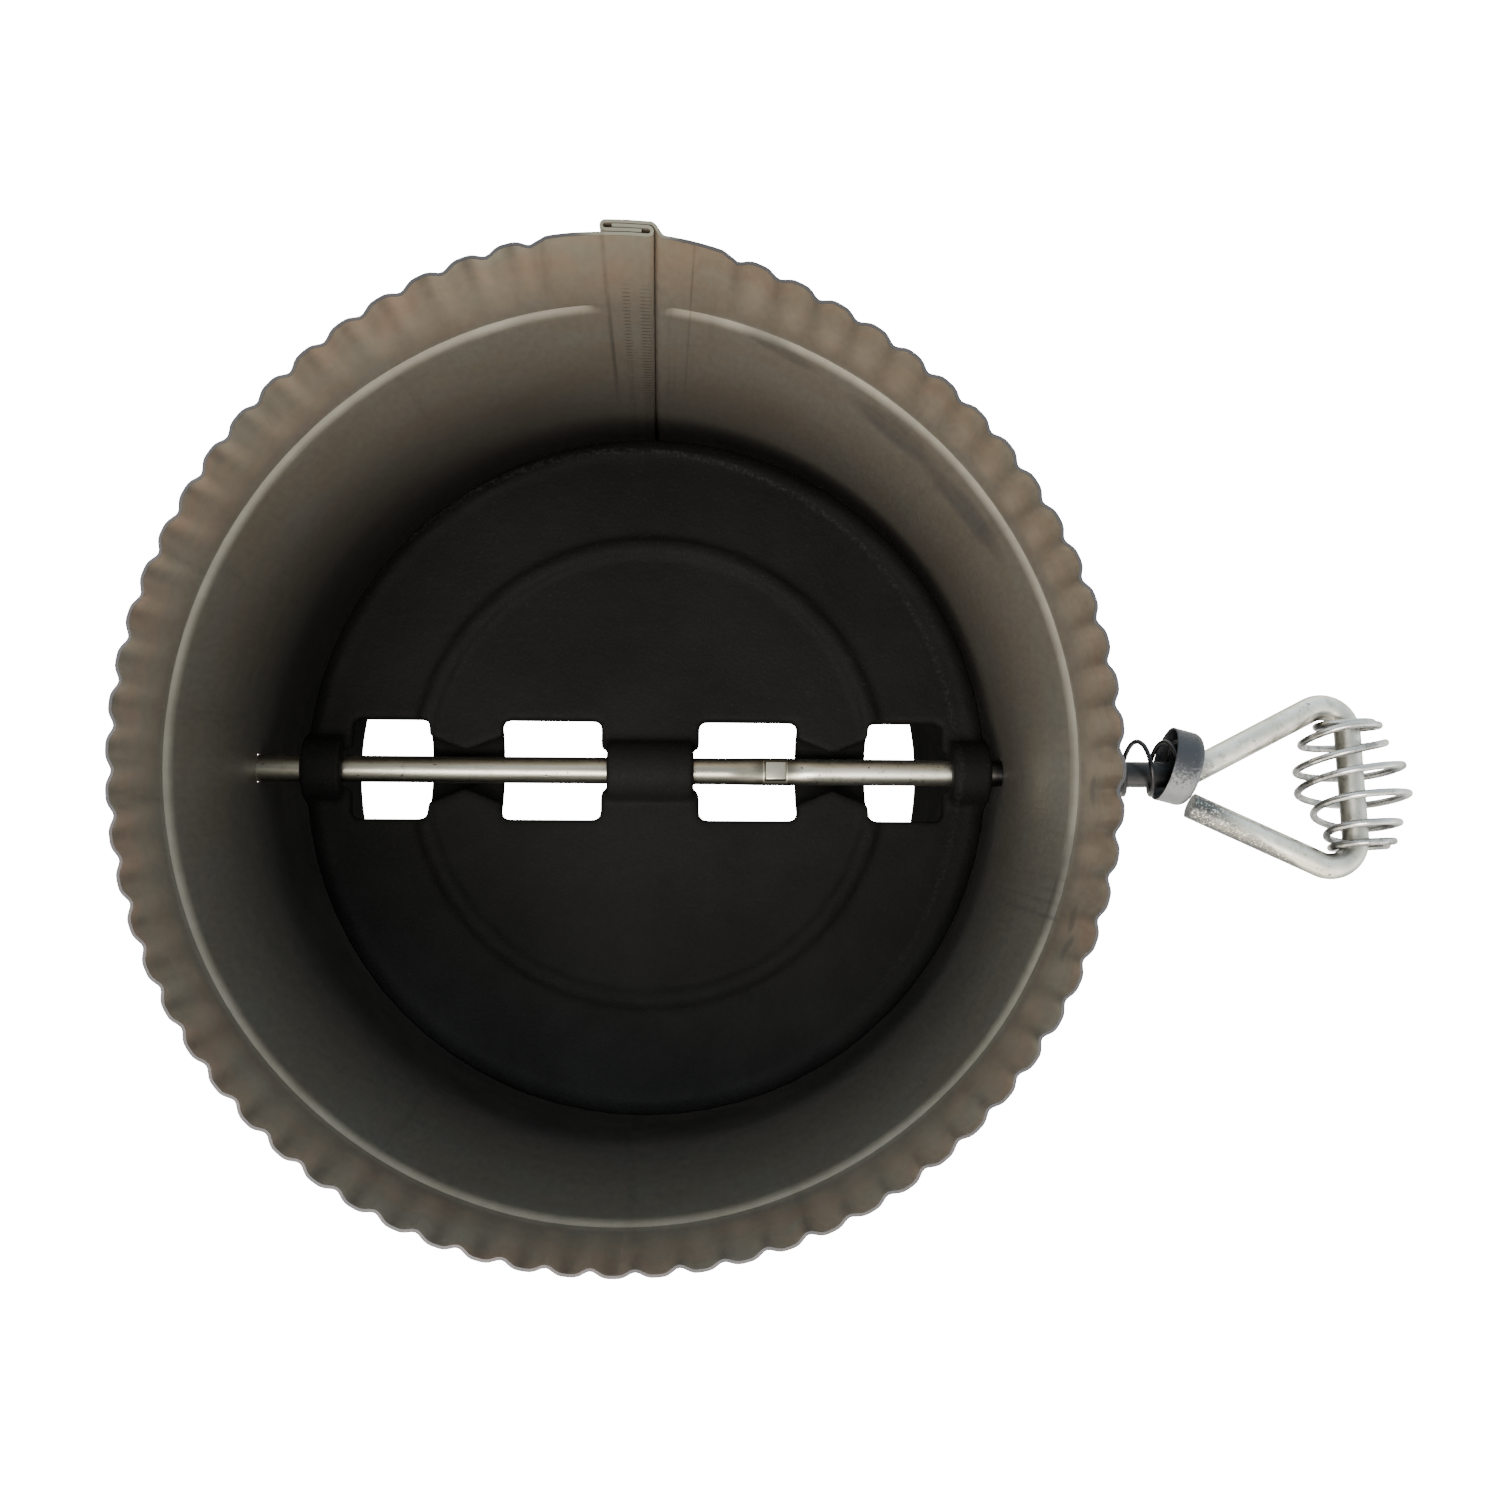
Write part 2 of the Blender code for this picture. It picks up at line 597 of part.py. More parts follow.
def make_spring(parts, carrier, material):
    spring = wire_curve("tension_spring", spring_points(), SPRING_WIRE, 8, parts)
    spring = curve_to_mesh(spring, parts)
    spring.parent = carrier
    finish(spring, material, 60.0)
    return spring


def make_cup(parts, carrier, material):
    """Drawn cup: middle line of its wall from the open rim to the hole, turned and given a wall."""
    radius = CUP_RADIUS - CUP_WALL / 2
    bottom = -CUP_WALL / 2
    bend = CUP_CORNER - CUP_WALL / 2
    profile = [(radius, -CUP_LENGTH)]
    for k in range(5):
        angle = math.pi / 2 * k / 4
        profile.append((radius - bend + bend * math.cos(angle), bottom - bend + bend * math.sin(angle)))
    profile.append((ROD_RADIUS + CUP_HOLE_CLEARANCE, bottom))
    cup = turned("spring_cup", profile, CUP_STEPS, parts)
    solidify(cup, CUP_WALL)
    cup.parent = carrier
    cup.location = Vector((ROOT_X, 0, 0)) + CUP_SEAT
    cup.rotation_euler = (0, math.pi / 2, CUP_TILT)
    finish(cup, material)
    return cup


def bend_reach(before, corner, after, radius):
    """Distance from a corner to the start of its arc."""
    half = (before - corner).angle(after - corner) / 2
    return radius / math.tan(half)


def along_stations(place):
    """Smooth height share and fullness at a place counted in quarter turns of the coil."""
    lower = min(int(place), len(COIL_STATIONS) - 2)
    t = place - lower
    near = [COIL_STATIONS[min(max(lower + k, 0), len(COIL_STATIONS) - 1)] for k in (-1, 0, 1, 2)]
    result = []
    for a, b, c, d in zip(*near):
        result.append(b + t / 2 * (c - a + t * (2 * a - 5 * b + 4 * c - d + t * (3 * (b - c) + d - a))))
    return result


def coil_points(bar_half):
    """Barrel coil about Z. Its small end turns run into the handle's two bends and clear them."""
    small = ROD_RADIUS + COIL_CLEARANCE + COIL_WIRE
    room = CORNER_BEND - ROD_RADIUS - COIL_WIRE - COIL_GAP
    overrun = math.sqrt(max(room ** 2 - (small - CORNER_BEND) ** 2, 0.0))
    reach = bar_half + overrun
    count = COIL_TURNS * COIL_POINTS
    points = []
    for k in range(count + 1):
        height, fullness = along_stations(4 * COIL_TURNS * k / count)
        angle = 2 * math.pi * COIL_TURNS * k / count + COIL_PHASE
        radius = small + (COIL_BARREL - small) * fullness
        points.append(Vector((radius * math.cos(angle), radius * math.sin(angle), height * reach)))
    return points


def make_grip_coil(parts, carrier, material):
    corners = handle_corners()
    root, upper, lower, arm_end = corners[2:]
    along = (upper - lower).normalized()
    top = upper - along * bend_reach(root, upper, lower, CORNER_BEND)
    foot = lower + along * bend_reach(upper, lower, arm_end, CORNER_BEND)
    axis = bpy.data.objects.new("grip_axis", None)
    parts.objects.link(axis)
    axis.parent = carrier
    axis.location = (top + foot) / 2
    axis.rotation_mode = "QUATERNION"
    sideways = along.cross(Vector((0, 0, 1)))
    backward = along.cross(sideways)
    frame = Matrix((sideways, backward, along)).transposed()
    axis.rotation_quaternion = frame.to_quaternion()
    coil = wire_curve("grip_coil", coil_points((top - foot).length / 2), COIL_WIRE, 8, parts)
    coil = curve_to_mesh(coil, parts)
    coil.parent = axis
    finish(coil, material, 60.0)
    return coil


def main():
    clear_scene()
    parts = new_collection("stovepipe_damper")
    cutters = new_collection("cutters")
    sheet_steel = metal("sheet_steel", (0.20, 0.185, 0.165), 0.42, 0.9)
    cast_iron = metal("cast_iron", (0.018, 0.018, 0.019), 0.62, 0.4)
    rod_steel = metal("rod_steel", (0.55, 0.54, 0.50), 0.32, 1.0)
    spring_wire = metal("spring_wire", (0.03, 0.03, 0.032), 0.35, 0.9)
    cup_steel = metal("cup_steel", (0.10, 0.105, 0.115), 0.40, 0.9)
    coil_wire = metal("coil_wire", (0.60, 0.60, 0.60), 0.28, 1.0)

    make_pipe(parts, cutters, sheet_steel)
    rod_axis = bpy.data.objects.new("damper_axis", None)
    parts.objects.link(rod_axis)
    rod_axis.location = PIPE_AXIS + Vector((0, 0, ROD_HEIGHT))
    rod_axis.rotation_euler = (PLATE_TURN, 0, 0)
    make_plate(parts, cutters, rod_axis, cast_iron)
    make_rod(parts, cutters, rod_axis, rod_steel)
    make_spring(parts, rod_axis, spring_wire)
    make_cup(parts, rod_axis, cup_steel)
    make_grip_coil(parts, rod_axis, coil_wire)


main()
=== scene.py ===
"""Stovepipe damper: detailed pieces, materials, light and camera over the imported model."""
import math

import bmesh
import bpy
from mathutils import Matrix, Vector, noise


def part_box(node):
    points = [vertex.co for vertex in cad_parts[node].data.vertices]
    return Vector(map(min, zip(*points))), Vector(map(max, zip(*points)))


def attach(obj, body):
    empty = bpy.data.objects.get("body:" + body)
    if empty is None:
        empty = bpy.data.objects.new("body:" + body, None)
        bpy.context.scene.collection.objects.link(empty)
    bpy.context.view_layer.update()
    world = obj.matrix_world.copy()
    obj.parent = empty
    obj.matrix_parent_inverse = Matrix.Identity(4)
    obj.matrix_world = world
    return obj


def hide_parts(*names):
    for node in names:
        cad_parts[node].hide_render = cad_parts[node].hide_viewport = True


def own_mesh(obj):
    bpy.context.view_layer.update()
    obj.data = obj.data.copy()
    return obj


MM = 0.001

# Pipe, in the part's own sizes
PIPE_LENGTH = 203.2 * MM
BORE_RADIUS = 75.75 * MM
SHEET = 0.5 * MM
WALL_RADIUS = BORE_RADIUS + SHEET / 2
OUTER_RADIUS = BORE_RADIUS + SHEET
SEAM_AZIMUTH = math.radians(-0.2)
SEAM_LAP = 6.0 * MM
SEAM_SLOPE = 1.6 * MM
HOOK_BITE = 0.9 * MM
LAYER = SHEET + 0.12 * MM
BEAD_HEIGHT = PIPE_LENGTH - 32.0 * MM
BEAD_HALF_WIDTH = 2.2 * MM
BEAD_RISE = 1.4 * MM
CRIMP_COUNT = 67
SEAM_FLAT_RIGHT = math.radians(12.4)
SEAM_FLAT_LEFT = math.radians(10.5)
CRIMP_ANGLE = (2 * math.pi - SEAM_FLAT_RIGHT - SEAM_FLAT_LEFT) / CRIMP_COUNT
CRIMP_DEPTH = 0.95 * MM
CRIMP_SHARPNESS = 4
RIM_TAPER = 1.85 * MM
BEAD_SWELL_SHARE = 0.36

# How far the rim stands out of round once it is crimped: degrees from +Y towards +X, millimetres
RIM_SWELL = (
    (-180.0, 0.55), (-150.0, 0.55), (-120.0, 0.35), (-90.0, -0.05), (-62.0, 0.35), (-50.0, 1.15),
    (-40.0, 1.6), (-30.0, 2.5), (-20.0, 3.55), (-10.0, 4.3), (0.0, 4.2), (7.0, 3.8), (14.0, 2.5),
    (20.0, 1.6), (28.0, 0.8), (40.0, 0.25), (75.0, 0.15), (100.0, 0.4), (125.0, 0.8), (148.0, 0.9),
    (180.0, 0.55),
)

# Rod, plate, spring, cup and coil, in the part's own sizes
ROD_RADIUS = 2.7 * MM
ROD_HEIGHT = 111.3 * MM
PLATE_TURN = math.radians(-4.0)
PLATE_RADIUS = 69.5 * MM
LIP_WIDTH = 3.1 * MM
TIP_END = OUTER_RADIUS + 8.0 * MM
ROOT_X = OUTER_RADIUS + 38.45 * MM
UPPER_CORNER = Vector((ROOT_X + 34.5 * MM, 17.8 * MM, 0.0))
LOWER_CORNER = Vector((ROOT_X + 36.4 * MM, -22.1 * MM, 0.0))
ARM_END = Vector((ROOT_X + 0.9 * MM, -6.35 * MM, 0.0))
BEND = 5.6 * MM
LUG_PLACE = Vector((28.85 * MM, 0.0, 1.7 * MM))
LUG_SIZE = Vector((4.9 * MM, 4.3 * MM, 3.4 * MM))
EAR_PLACE = Vector((29.7 * MM, 0.0, -2.4 * MM))
EAR_SIZE = Vector((6.6 * MM, 3.2 * MM, 4.8 * MM))
SPRING_RADIUS = 5.65 * MM
SPRING_WIRE = 0.5 * MM
SPRING_OPEN_TURNS = 5.8
SPRING_CLOSED_PITCH = 1.15 * MM
SPRING_GAP = 0.3 * MM
SPRING_END_ANGLE = math.radians(-240.0)
CUP_RADIUS = 7.8 * MM
CUP_LENGTH = 6.4 * MM
CUP_HOLE_RADIUS = 4.3 * MM
CUP_TILT = math.radians(-14.3)
CUP_SEAT = Vector((1.7 * MM, 0.8 * MM, 0.0))
CUP_WALL = 0.6 * MM
CUP_BEND = 1.9 * MM
COIL_TURNS = 7
COIL_CLEARANCE = 1.8 * MM
COIL_PHASE = math.radians(-25.0)
COIL_GAP = 0.25 * MM

# Sizes that differ a little from the part's: for the look, and for clearance at every pose
CRIMP_START = BEAD_HEIGHT + 1.5 * MM
TIP_LENGTH = 5.2 * MM
HOLE_RADIUS = 3.0 * MM
SPRING_EASE = 0.1 * MM
SPRING_LIFT = 1.35 * MM
CUP_EDGE = 0.36 * MM
COIL_WIRE = 0.77 * MM
COIL_BARREL = 11.06 * MM

# The bead's reach below and above its height, as shares of its half width
BEAD_BELOW = 1.45
BEAD_ABOVE = 0.85

# Heights of the sheet's points below the bead, in millimetres
WALL_LEVELS = (
    0.0, 1.0, 20.0, 45.0, 70.0, 95.0, 104.0, 108.0, 111.3, 115.0, 119.0, 130.0, 145.0, 160.0, 166.5,
)

# Smudges on the inner wall, in degrees and millimetres: place, height, half angle, half height,
# and slant in metres per radian
SMUDGES = (
    (19.5, 166.5, 6.0, 4.5, -0.03), (38.0, 159.0, 9.0, 8.0, -0.005), (52.0, 156.5, 10.0, 8.0, 0.01),
    (105.0, 170.0, 9.0, 4.0, -0.01),
)

# Distance from one tool tick of the seam to the next
TICK_PITCH = 1.9 * MM

# Small spots near the rim by place and height, and upright scratches by place and strength
SPOTS = ((108.6, 185.8), (112.1, 189.0), (92.5, 183.4))
SCRATCHES = ((109.25, 0.26), (107.4, 0.16), (105.8, 0.1), (104.2, 0.12))

# Every quarter turn of the coil from its foot: height as a share of its half length, and how full
COIL_STATIONS = (
    (-0.998, 0.121), (-0.998, 0.041), (-0.99, -0.041), (-0.934, 0.056), (-0.929, 0.372), (-0.929, 0.223),
    (-0.802, 0.068), (-0.636, 0.34), (-0.631, 0.613), (-0.691, 0.536), (-0.453, 0.458), (-0.193, 0.724),
    (-0.178, 1.0), (-0.295, 0.974), (-0.084, 0.957), (0.203, 0.916), (0.275, 0.874), (0.166, 0.916),
    (0.273, 0.957), (0.513, 0.655), (0.659, 0.352), (0.66, 0.534), (0.711, 0.716), (0.929, 0.289),
    (0.944, 0.19), (0.96, 0.157), (0.99, 0.14), (0.998, 0.041), (0.998, -0.025),
)

# Light
SKY_AZIMUTH = math.radians(195.0)
SKY_HORIZON = 3.3
SKY_ZENITH = 1.2
SKY_SLOPE = 0.52
SKY_DIM_SIDE = (0.84, 1.0, 1.08)
SKY_BRIGHT_SIDE = (1.08, 0.98, 0.84)
LAMP_AZIMUTH = math.radians(203.0)
LAMP_ELEVATION = math.radians(62.0)
LAMP_DISTANCE = 1.1
LAMP_TARGET_HEIGHT = 0.16
LAMP_SIZE = 0.55
LAMP_POWER = 15.0
LAMP_COLOR = (1.0, 0.93, 0.84)
FLOOR_HALF_WIDTH = 4.0
FLOOR_GLOW = 18.0
BASE_GLOW = 0.05

# Camera
LENS = 37.87
SENSOR_WIDTH = 36.0
CAMERA_PLACE = Vector((5.34 * MM, -3.59 * MM, PIPE_LENGTH + 231.73 * MM))
CAMERA_TURN = (math.radians(1.40), math.radians(-3.26), math.radians(0.40))

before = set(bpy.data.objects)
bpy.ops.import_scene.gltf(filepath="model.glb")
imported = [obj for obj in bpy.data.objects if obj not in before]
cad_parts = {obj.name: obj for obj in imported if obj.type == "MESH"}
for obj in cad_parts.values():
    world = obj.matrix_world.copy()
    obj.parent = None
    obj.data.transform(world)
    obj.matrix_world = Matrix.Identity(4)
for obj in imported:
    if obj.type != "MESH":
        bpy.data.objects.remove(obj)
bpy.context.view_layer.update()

pipe_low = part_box("pipe")[0]
rod_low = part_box("handle_rod")[0]
AXIS_X = rod_low[0] + TIP_END
AXIS_Y = pipe_low[1] + OUTER_RADIUS + BEAD_RISE
PIPE_AXIS = Vector((AXIS_X, AXIS_Y, 0.0))
ROD_PLACE = Matrix.Translation(PIPE_AXIS + Vector((0, 0, ROD_HEIGHT))) @ Matrix.Rotation(PLATE_TURN, 4, "X")


# Node helpers

class Shader:
    """A material being built: each call adds one node and returns an output socket."""

    def __init__(self, name):
        self.material = bpy.data.materials.new(name)
        self.material.use_nodes = True
        self.tree = self.material.node_tree
        self.shader = self.tree.nodes["Principled BSDF"]
        texture = self.add("ShaderNodeTexCoord")
        self.coordinates = texture.outputs["Object"]
        self.normal = texture.outputs["Normal"]

    def add(self, kind, **settings):
        node = self.tree.nodes.new(kind)
        for key, value in settings.items():
            setattr(node, key, value)
        return node

    def feed(self, socket, value):
        if isinstance(value, bpy.types.NodeSocket):
            self.tree.links.new(value, socket)
        elif value is not None:
            socket.default_value = value

    def math(self, operation, a, b=None, c=None):
        node = self.add("ShaderNodeMath", operation=operation)
        for index, value in enumerate((a, b, c)):
            self.feed(node.inputs[index], value)
        return node.outputs[0]

    def times(self, a, b):
        return self.math("MULTIPLY", a, b)

    def plus(self, a, b):
        return self.math("ADD", a, b)

    def minus(self, a, b):
        return self.math("SUBTRACT", a, b)

    def distance(self, a, b):
        """How far apart two numbers are."""
        return self.math("ABSOLUTE", self.minus(a, b))

    def ramp(self, value, low, high, to_low=0.0, to_high=1.0, smooth=True):
        kind = "SMOOTHSTEP" if smooth else "LINEAR"
        node = self.add("ShaderNodeMapRange", interpolation_type=kind)
        for index, item in enumerate((value, low, high, to_low, to_high)):
            self.feed(node.inputs[index], item)
        return node.outputs[0]

    def noise(self, scale, detail, roughness, vector=None, distortion=0.0):
        node = self.add("ShaderNodeTexNoise")
        self.feed(node.inputs["Vector"], vector or self.coordinates)
        node.inputs["Scale"].default_value = scale
        node.inputs["Detail"].default_value = detail
        node.inputs["Roughness"].default_value = roughness
        node.inputs["Distortion"].default_value = distortion
        return node.outputs["Fac"]

    def stretched(self, scale, vector=None):
        node = self.add("ShaderNodeMapping")
        self.feed(node.inputs["Vector"], vector or self.coordinates)
        node.inputs["Scale"].default_value = scale
        return node.outputs[0]

    def mix(self, share, a, b, blend="MIX"):
        node = self.add("ShaderNodeMix", data_type="RGBA", blend_type=blend)
        self.feed(node.inputs[0], share)
        self.feed(node.inputs[6], a)
        self.feed(node.inputs[7], b)
        return node.outputs[2]

    def tint(self, share, color, tone):
        """The colour multiplied by a tone, as far as the share says."""
        return self.mix(share, color, self.mix(1.0, color, tone, "MULTIPLY"))

    def split(self, vector):
        node = self.add("ShaderNodeSeparateXYZ")
        self.feed(node.inputs[0], vector)
        return node.outputs

    def join(self, x, y, z):
        node = self.add("ShaderNodeCombineXYZ")
        for index, value in enumerate((x, y, z)):
            self.feed(node.inputs[index], value)
        return node.outputs[0]

    def bump(self, height, distance):
        node = self.add("ShaderNodeBump")
        self.feed(node.inputs["Height"], height)
        node.inputs["Distance"].default_value = distance
        return node.outputs[0]

    def vector_math(self, operation, a, b=None):
        node = self.add("ShaderNodeVectorMath", operation=operation)
        self.feed(node.inputs[0], a)
        self.feed(node.inputs[1], b)
        return node.outputs["Value"]

    def around(self, centre):
        """Azimuth from +Y towards +X, radius and height about an upright axis."""
        shift = self.add("ShaderNodeMapping")
        self.feed(shift.inputs["Vector"], self.coordinates)
        shift.inputs["Location"].default_value = -centre
        x, y, z = self.split(shift.outputs[0])
        azimuth = self.math("ARCTAN2", x, y)
        return azimuth, self.vector_math("LENGTH", self.join(x, y, 0.0)), z

    def finish(self, color, roughness, metallic, normal=None, **sockets):
        self.feed(self.shader.inputs["Base Color"], color)
        self.feed(self.shader.inputs["Roughness"], roughness)
        self.shader.inputs["Metallic"].default_value = metallic
        self.feed(self.shader.inputs["Normal"], normal)
        for key, value in sockets.items():
            self.shader.inputs[key.replace("_", " ")].default_value = value
        return self.material


def rgb(red, green, blue):
    return (red, green, blue, 1.0)


def patch(m, azimuth, z, at_azimuth, at_height, half_angle, half_height, slant=0.0):
    """A soft spot on the unrolled wall: 1 in its middle, 0 from its edge outwards."""
    across = m.minus(azimuth, math.radians(at_azimuth))
    up = m.minus(z, at_height)
    up = m.minus(up, m.times(across, slant))
    across = m.math("DIVIDE", across, math.radians(half_angle))
    up = m.math("DIVIDE", up, half_height)
    square = m.plus(m.times(across, across), m.times(up, up))
    return m.ramp(square, 1.0, 0.2)


def line_at(m, arc, place, half_width):
    """An upright line on the unrolled wall: 1 at the place, 0 from the half width outwards."""
    off = m.distance(arc, place)
    return m.ramp(off, half_width, half_width * 0.3)


def seam_marks(m, arc, z, streaks):
    """Two rows of tool ticks on the folded seam and the scuffs of the seaming tool beside it."""
    tick = m.ramp(m.math("SINE", m.times(z, 2 * math.pi / TICK_PITCH)), 0.1, 0.9)
    rows = m.plus(line_at(m, arc, -0.9 * MM, 0.9 * MM), line_at(m, arc, 2.3 * MM, 1.3 * MM))
    ticks = m.times(m.times(tick, rows), m.ramp(z, 187 * MM, 175 * MM))
    fading = m.ramp(streaks, 0.35, 0.6)
    ticks = m.times(ticks, m.ramp(fading, 0.0, 1.0, 0.35, 1.0))
    scuffs = line_at(m, arc, -3.9 * MM, 0.55 * MM)
    for place, half_width in ((6.3, 0.35), (7.4, 0.3), (9.6, 0.28)):
        scuffs = m.plus(scuffs, m.times(line_at(m, arc, place * MM, half_width * MM), 0.7))
    scuffs = m.times(scuffs, fading)
    return ticks, m.times(scuffs, m.ramp(z, 100 * MM, 130 * MM))


def sheet_tones(m, azimuth, z, clouds, hue):
    """Bare grey-brown wall, and a tanner crimped part whose tone drifts from crest to crest."""
    wall = m.mix(m.ramp(clouds, 0.35, 0.68), rgb(0.30, 0.262, 0.215), rgb(0.245, 0.232, 0.205))
    tan = m.mix(m.ramp(clouds, 0.33, 0.66), rgb(0.46, 0.362, 0.275), rgb(0.355, 0.312, 0.25))
    tan = m.mix(m.ramp(hue, 0.5, 0.66, 0.0, 0.8), tan, rgb(0.385, 0.36, 0.295))
    tan = m.mix(m.ramp(hue, 0.48, 0.34, 0.0, 0.75), tan, rgb(0.46, 0.33, 0.25))
    dull = m.ramp(m.math("COSINE", m.minus(azimuth, math.radians(58.0))), 0.2, 0.85)
    tan = m.tint(dull, tan, rgb(0.72, 0.70, 0.68))
    return m.mix(m.ramp(z, BEAD_HEIGHT - 6 * MM, PIPE_LENGTH - 4 * MM), wall, tan)


def crimp_shade_and_highlight(m, color, azimuth, z, clouds, hue, off_seam):
    """Painted shade in the valleys and painted highlights on the crests between bead and rim."""
    share = m.math("DIVIDE", m.minus(azimuth, SEAM_FLAT_RIGHT + SEAM_AZIMUTH), CRIMP_ANGLE)
    turned = m.times(share, math.pi)
    beside_seam = m.ramp(off_seam, 0.18, 0.22)
    # Painted shade along the valley lines of the crimps
    valley = m.math("POWER", m.math("ABSOLUTE", m.math("COSINE", turned)), 7.0)
    valley = m.times(valley, m.ramp(z, BEAD_HEIGHT + 12 * MM, PIPE_LENGTH))
    valley = m.times(valley, m.ramp(clouds, 0.3, 0.7, 0.25, 0.6))
    color = m.mix(m.times(valley, beside_seam), color, rgb(0.10, 0.092, 0.085))
    # Painted highlight on the crests of the crimps
    crest = m.math("POWER", m.math("ABSOLUTE", m.math("SINE", turned)), 2.0)
    crest = m.times(crest, m.ramp(z, BEAD_HEIGHT + 3 * MM, BEAD_HEIGHT + 11 * MM))
    crest = m.times(crest, m.ramp(z, PIPE_LENGTH - 4 * MM, PIPE_LENGTH - 16 * MM))
    crest = m.times(crest, m.ramp(hue, 0.3, 0.6, 0.45, 0.2))
    return m.mix(m.times(crest, beside_seam), color, rgb(0.60, 0.50, 0.40))


def bead_shade_and_highlight(m, color, azimuth, z, streaks, off_seam):
    """Painted cool tint where the far side lies in shade below the bead, and a painted highlight along the
    bead's ridge.
    """
    far = m.ramp(m.math("COSINE", azimuth), 0.4, -0.5)
    shaded = m.times(far, m.ramp(z, BEAD_HEIGHT, BEAD_HEIGHT - 6 * MM))
    color = m.tint(shaded, color, rgb(0.95, 1.0, 1.05))
    # Painted highlight along the bead, reaching higher on the far side
    above = m.minus(z, m.math("MULTIPLY_ADD", far, 1.5 * MM, BEAD_HEIGHT + 1.4 * MM))
    below = m.minus(BEAD_HEIGHT - 2.5 * MM, z)
    bead = m.ramp(m.math("MAXIMUM", above, below), 0.2 * MM, 2.1 * MM, 1.0, 0.0)
    bead = m.times(bead, m.ramp(off_seam, 0.05, 0.26))
    bead = m.times(bead, m.ramp(streaks, 0.3, 0.65, 0.85, 0.5))
    return m.mix(bead, color, rgb(0.43, 0.414, 0.357))


def wall_wear(m, azimuth, arc, z, clouds):
    """Smudges, spots and scratches of the inner wall, as one amount."""
    wear = 0.0
    for place, height, half_angle, half_height, slant in SMUDGES:
        wear = m.plus(wear, patch(m, azimuth, z, place, height * MM, half_angle, half_height * MM, slant))
    wear = m.times(wear, m.ramp(clouds, 0.3, 0.7, 0.25, 0.6))
    for place, height in SPOTS:
        wear = m.plus(wear, m.times(patch(m, azimuth, z, place, height * MM, 2.2, 3.0 * MM), 0.4))
    below_bead = m.ramp(z, 177 * MM, 173 * MM)
    for place, strength in SCRATCHES:
        scratch = line_at(m, arc, math.radians(place) * WALL_RADIUS, 0.55 * MM)
        scratch = m.times(scratch, m.ramp(z, 125 * MM, 150 * MM, 0.0, strength))
        wear = m.plus(wear, m.times(scratch, below_bead))
    return wear


def sheet_material():
    """Rolled sheet: tones by height, painted shade low on the inner face and in the crimps' valleys,
    painted highlights on crests and bead, wear, and a dark cut rim.
    """
    m = Shader("rolled_sheet")
    azimuth, _, z = m.around(PIPE_AXIS)
    arc = m.times(azimuth, WALL_RADIUS)
    unrolled = m.join(arc, z, 0.0)
    clouds = m.noise(60.0, 5.0, 0.62, unrolled)
    hue = m.noise(95.0, 3.0, 0.5, m.stretched((1.0, 0.5, 1.0), unrolled))
    grain = m.noise(900.0, 3.0, 0.6, m.stretched((1.0, 0.25, 1.0), unrolled))
    streaks = m.noise(170.0, 5.0, 0.65, m.stretched((1.0, 0.05, 1.0), unrolled))
    off_seam = m.distance(azimuth, SEAM_AZIMUTH)
    outward = m.join(m.math("SINE", azimuth), m.math("COSINE", azimuth), 0.0)
    inside = m.ramp(m.vector_math("DOT_PRODUCT", m.normal, outward), 0.2, -0.2)

    color = sheet_tones(m, azimuth, z, clouds, hue)
    color = m.mix(m.ramp(streaks, 0.55, 0.78, 0.0, 0.38), color, rgb(0.13, 0.118, 0.105))
    color = m.mix(m.ramp(grain, 0.3, 0.7, 0.0, 0.14), color, rgb(0.5, 0.47, 0.42))
    color = crimp_shade_and_highlight(m, color, azimuth, z, clouds, hue, off_seam)
    # Painted shade deep inside the pipe, growing downwards towards the plate and stronger on the -X side
    deep_shade = m.times(inside, m.ramp(z, 155 * MM, 95 * MM, 0.0, 0.6))
    deep_shade = m.times(deep_shade, m.ramp(m.math("SINE", azimuth), 0.1, -0.5, 1.0, 1.22))
    color = m.mix(deep_shade, color, rgb(0.055, 0.053, 0.048))
    color = bead_shade_and_highlight(m, color, azimuth, z, streaks, off_seam)
    wear = m.times(wall_wear(m, azimuth, arc, z, clouds), inside)
    color = m.mix(wear, color, rgb(0.105, 0.105, 0.11))
    color = m.tint(m.ramp(inside, 1.0, 0.0), color, rgb(0.5, 0.5, 0.5))

    cut = m.ramp(z, PIPE_LENGTH - 0.25 * MM, PIPE_LENGTH - 0.02 * MM, 0.0, 0.92)
    cut_color = m.mix(m.ramp(off_seam, 0.11, 0.05), rgb(0.05, 0.052, 0.06), rgb(0.20, 0.19, 0.15))
    color = m.mix(cut, color, cut_color)
    ticks, scuffs = seam_marks(m, arc, z, streaks)
    color = m.mix(m.times(ticks, 0.8), color, rgb(0.07, 0.06, 0.05))
    color = m.mix(m.times(scuffs, 0.65), color, rgb(0.08, 0.075, 0.07))
    roughness = m.ramp(clouds, 0.2, 0.8, 0.42, 0.55)
    height = m.plus(m.times(grain, 0.25), m.times(clouds, 0.9))
    height = m.minus(height, m.times(ticks, 0.5))
    return m.finish(color, roughness, 0.75, m.bump(height, 0.12 * MM))


